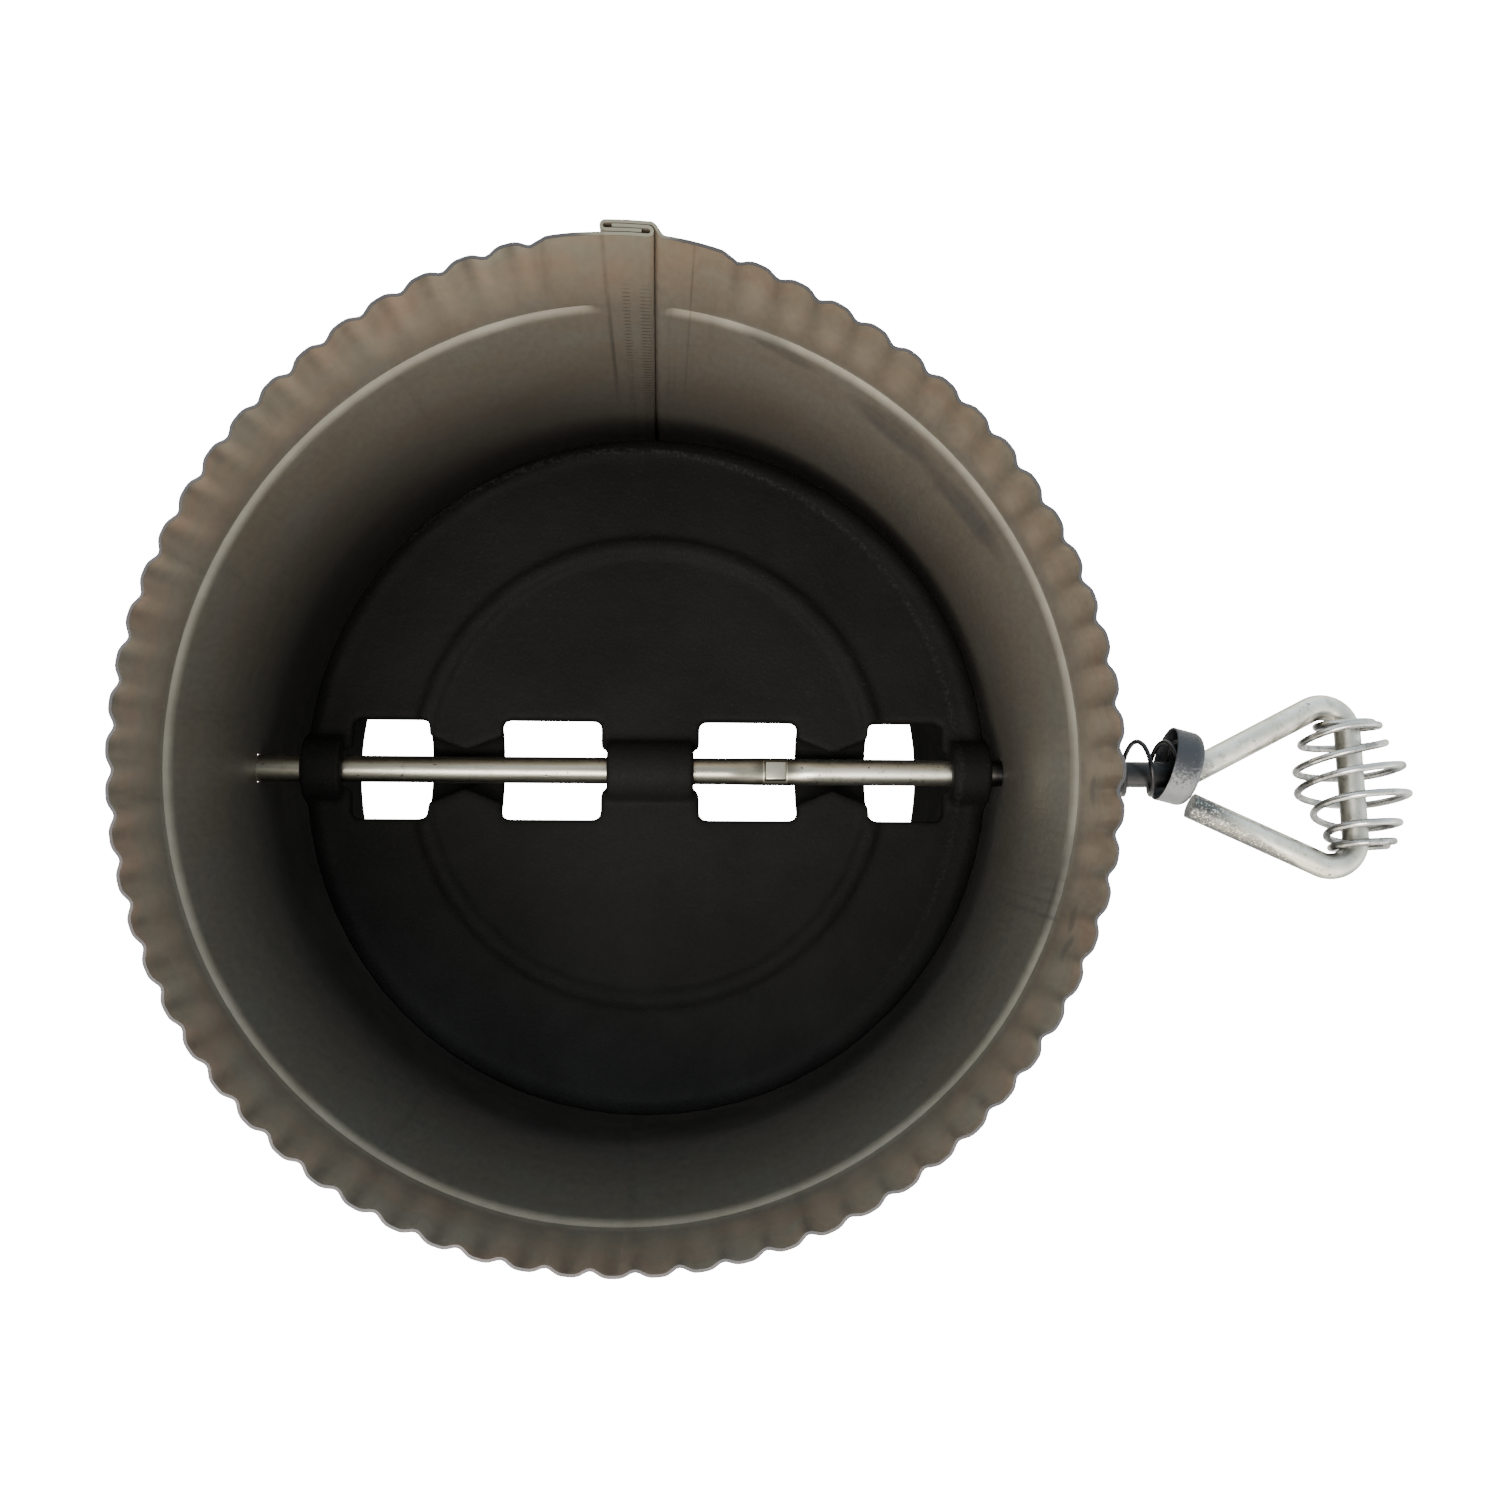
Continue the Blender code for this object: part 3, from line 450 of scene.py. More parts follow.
def iron_material():
    """Dark sand casting with pale grains, painted light towards -Y and a painted highlight along its raised
    lip.
    """
    m = Shader("cast_iron")
    sand = m.noise(1500.0, 4.0, 0.65)
    lumps = m.noise(260.0, 3.0, 0.5)
    clouds = m.noise(35.0, 4.0, 0.6)
    color = m.mix(m.ramp(clouds, 0.3, 0.7), rgb(0.0031, 0.0031, 0.0031), rgb(0.005, 0.005, 0.0051))
    y = m.split(m.coordinates)[1]
    # Painted light: the casting is lighter towards -Y, against the shade that the pipe's wall casts there
    painted_light_side = m.ramp(y, AXIS_Y + 60 * MM, AXIS_Y - 25 * MM, 1.0, 1.9, smooth=False)
    painted_light_side = m.times(painted_light_side, m.ramp(y, AXIS_Y - 25 * MM, AXIS_Y - 60 * MM, 1.0, 2.2))
    color = m.mix(1.0, color, m.join(painted_light_side, painted_light_side, painted_light_side), "MULTIPLY")
    color = m.mix(m.ramp(sand, 0.56, 0.8, 0.0, 0.6), color, rgb(0.022, 0.022, 0.023))
    radius = m.around(PIPE_AXIS)[1]
    lip = m.distance(radius, PLATE_RADIUS - LIP_WIDTH)
    # Painted highlight along the inner edge of the lip, broken up by the sand grains
    lip_highlight = m.times(m.ramp(lip, 1.0 * MM, 0.1 * MM), m.ramp(sand, 0.42, 0.66, 0.0, 0.55))
    color = m.mix(lip_highlight, color, rgb(0.024, 0.024, 0.025))
    roughness = m.ramp(sand, 0.2, 0.8, 0.55, 0.75)
    height = m.plus(m.times(sand, 0.45), m.times(lumps, 0.6))
    return m.finish(color, roughness, 0.0, m.bump(height, 0.3 * MM), Specular_IOR_Level=0.09)


def side_shade(m, clouds):
    """Painted shade on the sides of a bright wire: more on the side facing -Y, none along the top."""
    _, y, z = m.split(m.normal)
    shade = m.plus(m.ramp(z, 0.7, 0.15, 0.0, 0.55), m.ramp(y, -0.2, -0.8, 0.0, 0.45))
    return m.times(shade, m.ramp(clouds, 0.35, 0.65, 0.7, 1.1))


def rod_material():
    """Bright drawn steel with painted light and shade, dark steel with a painted shadow of the pipe between
    wall and cup, and blackened at the cut end of the lower arm.
    """
    m = Shader("rod_steel")
    x, y, _ = m.split(m.coordinates)
    root = AXIS_X + ROOT_X
    bar = AXIS_X + UPPER_CORNER.x
    drawn = m.noise(700.0, 4.0, 0.6, m.stretched((0.03, 1.0, 1.0)))
    pits = m.noise(900.0, 2.0, 0.7)
    clouds = m.noise(120.0, 4.0, 0.6)
    outside = m.ramp(x, root, root + 8 * MM)
    inner = m.mix(m.ramp(drawn, 0.3, 0.7), rgb(0.29, 0.28, 0.235), rgb(0.47, 0.46, 0.40))
    # Painted light: the rod inside the pipe is lighter from 25 mm to 50 mm along +X from the axis
    inner = m.mix(m.ramp(x, AXIS_X + 25 * MM, AXIS_X + 50 * MM, 0.0, 0.8), inner, rgb(0.78, 0.78, 0.72))
    outer = m.mix(m.ramp(clouds, 0.3, 0.7), rgb(0.67, 0.65, 0.56), rgb(0.91, 0.895, 0.82))
    # Painted shade on the bar, under the grip coil
    outer = m.mix(m.ramp(x, bar - 4 * MM, bar - 1 * MM, 0.0, 0.6), outer, rgb(0.33, 0.33, 0.31))
    color = m.mix(outside, inner, outer)
    mottle = m.noise(420.0, 5.0, 0.7, distortion=0.6)
    color = m.mix(m.ramp(mottle, 0.5, 0.7, 0.0, 0.5), color, rgb(0.26, 0.25, 0.215))
    color = m.mix(m.ramp(clouds, 0.6, 0.76, 0.0, 0.4), color, rgb(0.25, 0.23, 0.19))
    color = m.mix(m.ramp(pits, 0.66, 0.74, 0.0, 0.85), color, rgb(0.05, 0.045, 0.04))
    # Painted shade on the sides of the rod outside the pipe
    color = m.mix(m.times(side_shade(m, clouds), outside), color, rgb(0.032, 0.035, 0.041))

    off = m.distance(x, AXIS_X + LUG_PLACE.x)
    # Painted shade on the pressed flanks beside the lug
    beside = m.times(m.ramp(off, 6.5 * MM, 2.8 * MM), m.ramp(off, 2.4 * MM, 2.6 * MM))
    color = m.mix(m.times(beside, 0.8), color, rgb(0.09, 0.085, 0.07))
    color = m.mix(m.ramp(off, 2.6 * MM, 2.4 * MM, 0.0, 0.5), color, rgb(0.30, 0.29, 0.24))

    # Near black between wall and cup: dark steel, with a painted shadow of the pipe on it
    black = m.ramp(x, AXIS_X + 68 * MM, AXIS_X + 75 * MM)
    black = m.times(black, m.ramp(x, root + 3 * MM, root - 3 * MM))
    color = m.mix(m.times(black, 0.97), color, rgb(0.018, 0.0185, 0.022))

    from_end = m.vector_math("DISTANCE", m.coordinates, ROD_PLACE @ ARM_END)
    flank = m.ramp(from_end, 7.0 * MM, 30.0 * MM, 0.3, -0.8, smooth=False)
    flank = m.minus(flank, m.split(m.normal)[1])
    flank = m.plus(flank, m.ramp(clouds, 0.3, 0.7, -0.15, 0.15))
    flank = m.times(m.ramp(flank, -0.05, 0.25), m.ramp(from_end, 40.0 * MM, 32.0 * MM))
    flank = m.times(flank, m.ramp(y, AXIS_Y - 6.0 * MM, AXIS_Y - 8.0 * MM, 0.0, 0.75))
    specks = m.noise(1900.0, 3.0, 0.75)
    end = m.times(m.ramp(from_end, 13.0 * MM, 4.5 * MM), 0.9)
    end = m.math("MAXIMUM", end, flank)
    end = m.times(end, m.ramp(specks, 0.64, 0.54))
    color = m.mix(end, color, rgb(0.04, 0.042, 0.047))
    roughness = m.ramp(drawn, 0.2, 0.8, 0.26, 0.42)
    height = m.minus(m.times(drawn, 0.3), m.ramp(pits, 0.66, 0.76, 0.0, 0.5))
    return m.finish(color, roughness, 1.0, m.bump(height, 0.06 * MM))


def coil_material():
    """Plated wire with painted shade at its sides, and dark specks and blotches."""
    m = Shader("coil_wire")
    specks = m.noise(1300.0, 3.0, 0.7)
    clouds = m.noise(170.0, 5.0, 0.65)
    color = m.mix(m.ramp(clouds, 0.3, 0.72), rgb(0.56, 0.56, 0.545), rgb(0.36, 0.365, 0.37))
    blotches = m.plus(clouds, m.times(specks, 0.4))
    color = m.mix(m.ramp(blotches, 0.72, 0.84, 0.0, 0.7), color, rgb(0.17, 0.15, 0.13))
    # Painted shade on the sides of the wire
    color = m.mix(side_shade(m, clouds), color, rgb(0.03, 0.033, 0.039))
    color = m.mix(m.ramp(specks, 0.66, 0.73, 0.0, 0.85), color, rgb(0.09, 0.085, 0.08))
    roughness = m.ramp(clouds, 0.3, 0.7, 0.22, 0.38)
    height = m.plus(m.times(specks, 0.3), clouds)
    return m.finish(color, roughness, 1.0, m.bump(height, 0.08 * MM))


def black_wire_material():
    m = Shader("spring_wire")
    clouds = m.noise(300.0, 4.0, 0.6)
    color = m.mix(m.ramp(clouds, 0.35, 0.7), rgb(0.018, 0.018, 0.02), rgb(0.045, 0.045, 0.048))
    return m.finish(color, m.ramp(clouds, 0.3, 0.7, 0.28, 0.45), 0.9, m.bump(clouds, 0.05 * MM))


def cup_material():
    """Dark on top, with the plating rubbed pale and speckled lower down and at the closed end."""
    m = Shader("cup_steel")
    specks = m.noise(1500.0, 3.0, 0.75)
    clouds = m.noise(230.0, 4.0, 0.6)
    y = m.split(m.coordinates)[1]
    lower = m.ramp(y, AXIS_Y + 4.5 * MM, AXIS_Y - 4.0 * MM, 0.0, 0.95)
    axis = Vector((math.cos(CUP_TILT), math.sin(CUP_TILT), 0.0))
    along = m.vector_math("DOT_PRODUCT", m.coordinates, axis)
    seat = (ROD_PLACE @ (Vector((ROOT_X, 0, 0)) + CUP_SEAT)).dot(axis)
    closed_end = m.ramp(along, seat - 2.2 * MM, seat - 0.4 * MM, 0.0, 0.34)
    amount = m.plus(lower, closed_end)
    amount = m.plus(amount, m.times(m.minus(clouds, 0.5), 0.9))
    threshold = m.plus(m.times(amount, 0.42), m.times(specks, 0.9))
    rubbed = m.ramp(threshold, 0.60, 0.80)
    color = m.mix(rubbed, rgb(0.052, 0.055, 0.063), rgb(0.165, 0.17, 0.18))
    return m.finish(color, m.ramp(specks, 0.3, 0.7, 0.36, 0.55), 0.8, m.bump(specks, 0.1 * MM))


# Mesh helpers

def add_object(name, data):
    thing = bpy.data.objects.new(name, data)
    bpy.context.scene.collection.objects.link(thing)
    return thing


def from_bmesh(name, shape, place=None):
    """A new object from a bmesh, which is freed."""
    bmesh.ops.recalc_face_normals(shape, faces=shape.faces)
    mesh = bpy.data.meshes.new(name)
    shape.to_mesh(mesh)
    shape.free()
    if place is not None:
        mesh.transform(place)
    return add_object(name, mesh)


def dress(thing, material, body, node, sharp):
    """Gives a finished piece its material and body, and hides the CAD node it stands in for."""
    thing.data.materials.clear()
    thing.data.materials.append(material)
    thing.data.shade_smooth()
    thing.data.set_sharp_from_angle(angle=math.radians(sharp))
    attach(thing, body)
    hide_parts(node)


def apply_modifiers(thing):
    """Replaces the object's mesh by what its modifiers make of it."""
    evaluated = thing.evaluated_get(bpy.context.evaluated_depsgraph_get())
    mesh = bpy.data.meshes.new_from_object(evaluated)
    thing.modifiers.clear()
    thing.data = mesh


def boolean(thing, tool, operation):
    """Cuts the tool from the thing or joins it to it, and deletes the tool."""
    change = thing.modifiers.new(operation.lower(), "BOOLEAN")
    change.operation = operation
    change.solver = "EXACT"
    change.object = tool
    apply_modifiers(thing)
    bpy.data.objects.remove(tool, do_unlink=True)


def smooth_step(value, low, high):
    share = min(max((value - low) / (high - low), 0.0), 1.0)
    return share * share * (3 - 2 * share)


def tube(name, path, radius, sides, place, shape_ring=None):
    """A closed tube along a path. shape_ring may change a point of the ring round a path point."""
    shape = bmesh.new()
    rings = []
    tangent = (path[1] - path[0]).normalized()
    up = Vector((0, 0, 1))
    if abs(tangent.dot(up)) > 0.9:
        up = Vector((0, 1, 0))
    across = tangent.cross(up).normalized()
    for index, point in enumerate(path):
        before = path[max(index - 1, 0)]
        after = path[min(index + 1, len(path) - 1)]
        turned = (after - before).normalized()
        across = (across - turned * across.dot(turned)).normalized()
        up = across.cross(turned)
        ring = []
        for k in range(sides):
            angle = 2 * math.pi * k / sides
            offset = (radius * math.cos(angle), radius * math.sin(angle))
            if shape_ring:
                offset = shape_ring(point, offset)
            ring.append(shape.verts.new(point + across * offset[0] + up * offset[1]))
        rings.append(ring)
    for first, second in zip(rings, rings[1:]):
        for k in range(sides):
            shape.faces.new((first[k], first[(k + 1) % sides], second[(k + 1) % sides], second[k]))
    shape.faces.new(list(reversed(rings[0])))
    shape.faces.new(rings[-1])
    return from_bmesh(name, shape, place)


def rounded_path(corners, radius, step=math.radians(5.0)):
    """The path through the corners with each inner corner turned into an arc."""
    points = [corners[0]]
    for before, corner, after in zip(corners, corners[1:], corners[2:]):
        back = (before - corner).normalized()
        onward = (after - corner).normalized()
        half = back.angle(onward) / 2
        centre = corner + (back + onward).normalized() * (radius / math.sin(half))
        start = corner + back * (radius / math.tan(half)) - centre
        end = corner + onward * (radius / math.tan(half)) - centre
        sweep = math.pi - 2 * half
        count = max(3, math.ceil(sweep / step))
        axis = start.cross(end)
        for k in range(count + 1):
            points.append(centre + Matrix.Rotation(sweep * k / count, 3, axis) @ start)
    points.append(corners[-1])
    return points


def divided(path, length):
    """The same path with its long straight stretches cut into shorter ones."""
    points = [path[0]]
    for start, end in zip(path, path[1:]):
        count = max(1, math.ceil((end - start).length / length))
        for k in range(1, count + 1):
            points.append(start.lerp(end, k / count))
    return points


# Pipe: one sheet, folded, rolled, beaded and crimped

def hook(middle, height, start, sweep, steps=10):
    """Points of a half turn of the sheet, as lengths along the wall and heights above it."""
    lines = []
    for k in range(steps + 1):
        angle = start + sweep * k / steps
        lines.append((middle + LAYER * math.cos(angle), height + LAYER * math.sin(angle)))
    return lines


def columns_of_sheet():
    """Azimuth and height of each upright line of the sheet."""
    left = -SEAM_LAP / 2
    right = SEAM_LAP / 2
    cover = [(right - HOOK_BITE, LAYER), (0.0, LAYER)]
    cover += hook(left, 2 * LAYER, -math.pi / 2, -math.pi)
    cover.append((0.0, 3 * LAYER))
    for k in range(9):
        share = k / 8
        drop = 0.5 + 0.5 * math.cos(math.pi * share)
        cover.append((right + LAYER * 0.6 + (SEAM_SLOPE + LAYER * 0.8) * share, 3 * LAYER * drop))
    tail = [(left - LAYER, 0.0), (0.0, 0.0)]
    tail += hook(right, LAYER, -math.pi / 2, math.pi)
    tail += [(0.0, 2 * LAYER), (left + HOOK_BITE, 2 * LAYER)]
    lines = [(along / WALL_RADIUS, height) for along, height in cover]
    start = lines[-1][0]
    for k in range(1, 9):
        lines.append((start + (SEAM_FLAT_RIGHT - start) * k / 9, 0.0))
    per_crimp = 12
    for k in range(CRIMP_COUNT * per_crimp + 1):
        lines.append((SEAM_FLAT_RIGHT + k * CRIMP_ANGLE / per_crimp, 0.0))
    turn = 2 * math.pi
    tail_start = turn + tail[0][0] / WALL_RADIUS
    start = lines[-1][0]
    for k in range(1, 9):
        lines.append((start + (tail_start - start) * k / 9, 0.0))
    lines += [(turn + along / WALL_RADIUS, height) for along, height in tail]
    return lines


def heights_of_sheet():
    """Heights of the sheet's level rows, closer together over bead and crimps."""
    levels = [value * MM for value in WALL_LEVELS]
    bead_steps = 14
    for k in range(bead_steps + 1):
        share = k / bead_steps * (BEAD_BELOW + BEAD_ABOVE) - BEAD_BELOW
        levels.append(BEAD_HEIGHT + share * BEAD_HALF_WIDTH)
    last = levels[-1]
    crimp_steps = 24
    for k in range(1, crimp_steps + 1):
        levels.append(last + (PIPE_LENGTH - last) * k / crimp_steps)
    return levels


def rim_swell(around):
    """Height of RIM_SWELL at an azimuth in radians, run smoothly through its points."""
    degrees = math.degrees(math.remainder(around, 2 * math.pi))
    total = 0.0
    for shift in (-4.0, -2.0, 0.0, 2.0, 4.0):
        at = (degrees + shift + 180.0) % 360.0 - 180.0
        for (start, low), (end, high) in zip(RIM_SWELL, RIM_SWELL[1:]):
            if at <= end:
                total += low + (high - low) * (at - start) / (end - start)
                break
    return total / 5 * MM


def sheet_point(azimuth, height, z, swell):
    """A point of the sheet's middle: round below, beaded, then drawn in, swollen and crimped."""
    off_seam = abs(math.remainder(azimuth, 2 * math.pi)) * WALL_RADIUS
    crimp = min(smooth_step(z, CRIMP_START, PIPE_LENGTH + 6 * MM) * 1.08, 1.0)
    around = azimuth + SEAM_AZIMUTH
    radius = WALL_RADIUS + height + crimp * (swell - RIM_TAPER)
    lift = min(z / (BEAD_HEIGHT - BEAD_HALF_WIDTH), 1.0) * (1 - crimp)
    radius += BEAD_SWELL_SHARE * lift * (swell - RIM_SWELL[0][1] * MM)
    reach = BEAD_HALF_WIDTH * (BEAD_BELOW if z < BEAD_HEIGHT else BEAD_ABOVE)
    bead = math.cos(math.pi / 2 * min(abs(z - BEAD_HEIGHT) / reach, 1.0)) ** 2
    radius += BEAD_RISE * bead * smooth_step(off_seam, 4.9 * MM, 7.2 * MM)
    share = (azimuth - SEAM_FLAT_RIGHT) / CRIMP_ANGLE
    if -0.5 < share < CRIMP_COUNT + 0.5:
        depth = 1.0 + 0.3 * noise.noise(Vector((round(share) * 1.7, 3.1, 0.0)))
        radius -= CRIMP_DEPTH * crimp * depth * abs(math.cos(math.pi * share)) ** CRIMP_SHARPNESS
    spot = Vector((math.sin(azimuth) * 3.0, math.cos(azimuth) * 3.0, z * 12.0))
    dent = 0.12 * MM * noise.noise(spot)
    radius += dent * smooth_step(z, 20 * MM, 60 * MM) * smooth_step(off_seam, 5 * MM, 9 * MM)
    return Vector((radius * math.sin(around), radius * math.cos(around), z))


def make_pipe():
    """The sheet as a grid of lines and levels, thickened, with the rod's holes drilled through."""
    lines = columns_of_sheet()
    levels = heights_of_sheet()
    sheet = bmesh.new()
    grid = []
    for azimuth, height in lines:
        swell = rim_swell(azimuth + SEAM_AZIMUTH)
        grid.append([sheet.verts.new(sheet_point(azimuth, height, z, swell)) for z in levels])
    for left, right in zip(grid, grid[1:]):
        for k in range(len(levels) - 1):
            sheet.faces.new((left[k], right[k], right[k + 1], left[k + 1]))
    pipe = from_bmesh("stovepipe", sheet, Matrix.Translation(PIPE_AXIS))
    wall = pipe.modifiers.new("wall", "SOLIDIFY")
    wall.thickness = SHEET
    wall.offset = 0.0
    wall.use_even_offset = True
    wall.use_quality_normals = True
    apply_modifiers(pipe)
    drill = bmesh.new()
    turn = Matrix.Translation(PIPE_AXIS + Vector((0, 0, ROD_HEIGHT)))
    turn = turn @ Matrix.Rotation(math.pi / 2, 4, "Y")
    bmesh.ops.create_cone(drill, cap_ends=True, segments=40, radius1=HOLE_RADIUS,
                          radius2=HOLE_RADIUS, depth=4 * OUTER_RADIUS, matrix=turn)
    boolean(pipe, from_bmesh("drill", drill), "DIFFERENCE")
    dress(pipe, sheet_material(), "pipe", "pipe", 50.0)


def make_plate():
    """The casting: the CAD solid's edges rounded as sand casting leaves them."""
    plate = add_object("plate_casting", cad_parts["damper_plate"].data.copy())
    remesh = plate.modifiers.new("rounding", "REMESH")
    remesh.mode = "VOXEL"
    remesh.voxel_size = 0.62 * MM
    soften = plate.modifiers.new("soften", "SMOOTH")
    soften.factor = 0.5
    soften.iterations = 6
    apply_modifiers(plate)
    dress(plate, iron_material(), "plate", "damper_plate", 80.0)


def handle_path():
    """The rod's middle line from its tip to the cut end of the lower arm."""
    corners = [Vector((-TIP_END, 0, 0)), Vector((ROOT_X, 0, 0)), UPPER_CORNER, LOWER_CORNER, ARM_END]
    return divided(rounded_path(corners, BEND), 1.2 * MM)


def rod_ring(point, offset):
    """The rod's round section, tapered at its tip and pressed flat on top beside the lug."""
    across, up = offset
    if point.y == 0.0 and point.x < -TIP_END + TIP_LENGTH:
        share = max((point.x + TIP_END) / TIP_LENGTH, 0.18)
        return across * share, up * share
    if abs(point.y) < 0.01 * MM and 18 * MM < point.x < 38 * MM:
        pinch = smooth_step(point.x, 19.5 * MM, 25.5 * MM) * smooth_step(point.x, 37.0 * MM, 31.0 * MM)
        if up > 0:
            up *= 1.0 - 0.30 * pinch
        across *= 1.0 + 0.04 * pinch
    return across, up


def rounded_block(name, middle, size, rounding, lean=0.0):
    """A box on the rod with soft edges, its upper end drawn in by the lean."""
    shape = bmesh.new()
    bmesh.ops.create_cube(shape, size=1.0)
    for point in shape.verts:
        drawn_in = lean if point.co.z > 0 else 0.0
        inward = (drawn_in if point.co.x < 0 else -drawn_in, drawn_in if point.co.y < 0 else -drawn_in, 0.0)
        point.co = middle + point.co * size + Vector(inward)
    bmesh.ops.bevel(shape, geom=shape.edges[:], offset=rounding, segments=2, profile=0.6, affect="EDGES")
    return from_bmesh(name, shape, ROD_PLACE)


def make_rod():
    rod = tube("handle_rod_bent", handle_path(), ROD_RADIUS, 40, ROD_PLACE, rod_ring)
    boolean(rod, rounded_block("lug", LUG_PLACE, LUG_SIZE, 0.35 * MM, 0.35 * MM), "UNION")
    boolean(rod, rounded_block("ear", EAR_PLACE, EAR_SIZE, 0.4 * MM), "UNION")
    dress(rod, rod_material(), "handle", "handle_rod", 35.0)


def make_spring():
    """A coil from wall to cup with one closed turn at each end."""
    cup_bottom = ROOT_X + CUP_SEAT.x - CUP_WALL - (SPRING_RADIUS + CUP_SEAT.y) * math.tan(-CUP_TILT)
    start = OUTER_RADIUS + SPRING_GAP + SPRING_WIRE
    end = cup_bottom - SPRING_WIRE - SPRING_GAP
    pitch = (end - start - 2 * SPRING_CLOSED_PITCH) / SPRING_OPEN_TURNS
    turns = SPRING_OPEN_TURNS + 2
    radius = SPRING_RADIUS - SPRING_EASE
    count = round(turns * 32)
    path = []
    for k in range(count + 1):
        done = turns * k / count
        before = min(done, 1.0)
        after = max(done - (turns - 1), 0.0)
        x = start + SPRING_CLOSED_PITCH * (before + after) + pitch * (done - before - after)
        angle = SPRING_END_ANGLE - (turns - done) * 2 * math.pi
        path.append(Vector((x, SPRING_LIFT + radius * math.cos(angle), radius * math.sin(angle))))
    spring = tube("damper_spring", path, SPRING_WIRE, 12, ROD_PLACE)
    dress(spring, black_wire_material(), "plate", "tension_spring", 60.0)
    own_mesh(spring)


def cup_profile():
    """Radius and height of the cup's middle line, from its open edge to the hole for the rod."""
    half = CUP_EDGE / 2
    radius = CUP_RADIUS - half
    wall_steps = 5
    bend_steps = 8
    profile = [(radius + 0.05 * MM, -CUP_LENGTH)]
    for k in range(1, wall_steps + 1):
        profile.append((radius, -CUP_LENGTH + (CUP_LENGTH - half - CUP_BEND) * k / wall_steps))
    for k in range(1, bend_steps + 1):
        angle = math.pi / 2 * k / bend_steps
        out = radius - CUP_BEND + CUP_BEND * math.cos(angle)
        profile.append((out, -half - CUP_BEND + CUP_BEND * math.sin(angle)))
    return profile + [(5.4 * MM, -half), (CUP_HOLE_RADIUS, -half)]


def make_cup():
    """A thin cup turned from its profile, which leans on the rod's first bend."""
    profile = cup_profile()
    shape = bmesh.new()
    steps = 80
    rings = []
    for k in range(steps):
        angle = 2 * math.pi * k / steps
        rings.append([shape.verts.new((r * math.cos(angle), r * math.sin(angle), z)) for r, z in profile])
    for k in range(steps):
        first, second = rings[k], rings[(k + 1) % steps]
        for j in range(len(profile) - 1):
            shape.faces.new((first[j], second[j], second[j + 1], first[j + 1]))
    place = ROD_PLACE @ Matrix.Translation(Vector((ROOT_X, 0, 0)) + CUP_SEAT)
    place = place @ Matrix.Rotation(CUP_TILT, 4, "Z") @ Matrix.Rotation(math.pi / 2, 4, "Y")
    cup = from_bmesh("drawn_cup", shape, place)
    wall = cup.modifiers.new("wall", "SOLIDIFY")
    wall.thickness = CUP_EDGE
    wall.offset = 0.0
    wall.use_even_offset = True
    edge = cup.modifiers.new("edge", "BEVEL")
    edge.width = 0.12 * MM
    edge.segments = 2
    edge.limit_method = "ANGLE"
    apply_modifiers(cup)
    dress(cup, cup_material(), "handle", "spring_cup", 40.0)


def bend_reach(before, corner, after):
    """How far from the corner its bend begins."""
    half = (before - corner).angle(after - corner) / 2
    return BEND / math.tan(half)


def along_stations(place):
    """Smooth height share and fullness at a place counted in quarter turns of the coil."""
    lower = min(int(place), len(COIL_STATIONS) - 2)
    t = place - lower
    near = [COIL_STATIONS[min(max(lower + k, 0), len(COIL_STATIONS) - 1)] for k in (-1, 0, 1, 2)]
    result = []
    for a, b, c, d in zip(*near):
        result.append(b + t / 2 * (c - a + t * (2 * a - 5 * b + 4 * c - d + t * (3 * (b - c) + d - a))))
    return result


def make_grip_coil():
    """A barrel of wire round the handle's bar, from one bend of the rod to the other."""
    root = Vector((ROOT_X, 0, 0))
    along = (UPPER_CORNER - LOWER_CORNER).normalized()
    top = UPPER_CORNER - along * bend_reach(root, UPPER_CORNER, LOWER_CORNER)
    foot = LOWER_CORNER + along * bend_reach(UPPER_CORNER, LOWER_CORNER, ARM_END)
    small = ROD_RADIUS + COIL_CLEARANCE + COIL_WIRE
    room = BEND - ROD_RADIUS - COIL_WIRE - COIL_GAP
    overrun = math.sqrt(max(room ** 2 - (small - BEND) ** 2, 0.0))
    reach = (top - foot).length / 2 + overrun
    count = COIL_TURNS * 48
    path = []
    for k in range(count + 1):
        height, fullness = along_stations(4 * COIL_TURNS * k / count)
        angle = 2 * math.pi * COIL_TURNS * k / count + COIL_PHASE
        radius = small + (COIL_BARREL - small) * fullness
        path.append(Vector((radius * math.cos(angle), radius * math.sin(angle), height * reach)))
    sideways = along.cross(Vector((0, 0, 1)))
    backward = along.cross(sideways)
    turned = Matrix((sideways, backward, along)).transposed().to_4x4()
    place = ROD_PLACE @ Matrix.Translation((top + foot) / 2) @ turned
    coil = tube("barrel_coil", path, COIL_WIRE, 16, place)
    dress(coil, coil_material(), "grip", "grip_coil", 60.0)


# Floor, light and camera

def floor_plane(name, height, build):
    """A wide plane of the stage with its own material."""
    shape = bmesh.new()
    bmesh.ops.create_grid(shape, x_segments=2, y_segments=2, size=FLOOR_HALF_WIDTH)
    floor = from_bmesh(name, shape, Matrix.Translation((0, 0, height)))
    floor.data.materials.append(build())
    return floor


def white_card():
    """The plain white ground that the camera sees."""
    m = Shader("white_card")
    m.shader.inputs["Emission Color"].default_value = rgb(1.0, 1.0, 1.0)
    m.shader.inputs["Emission Strength"].default_value = FLOOR_GLOW
    return m.finish(rgb(0.0, 0.0, 0.0), 1.0, 0.0, Specular_IOR_Level=0.0)


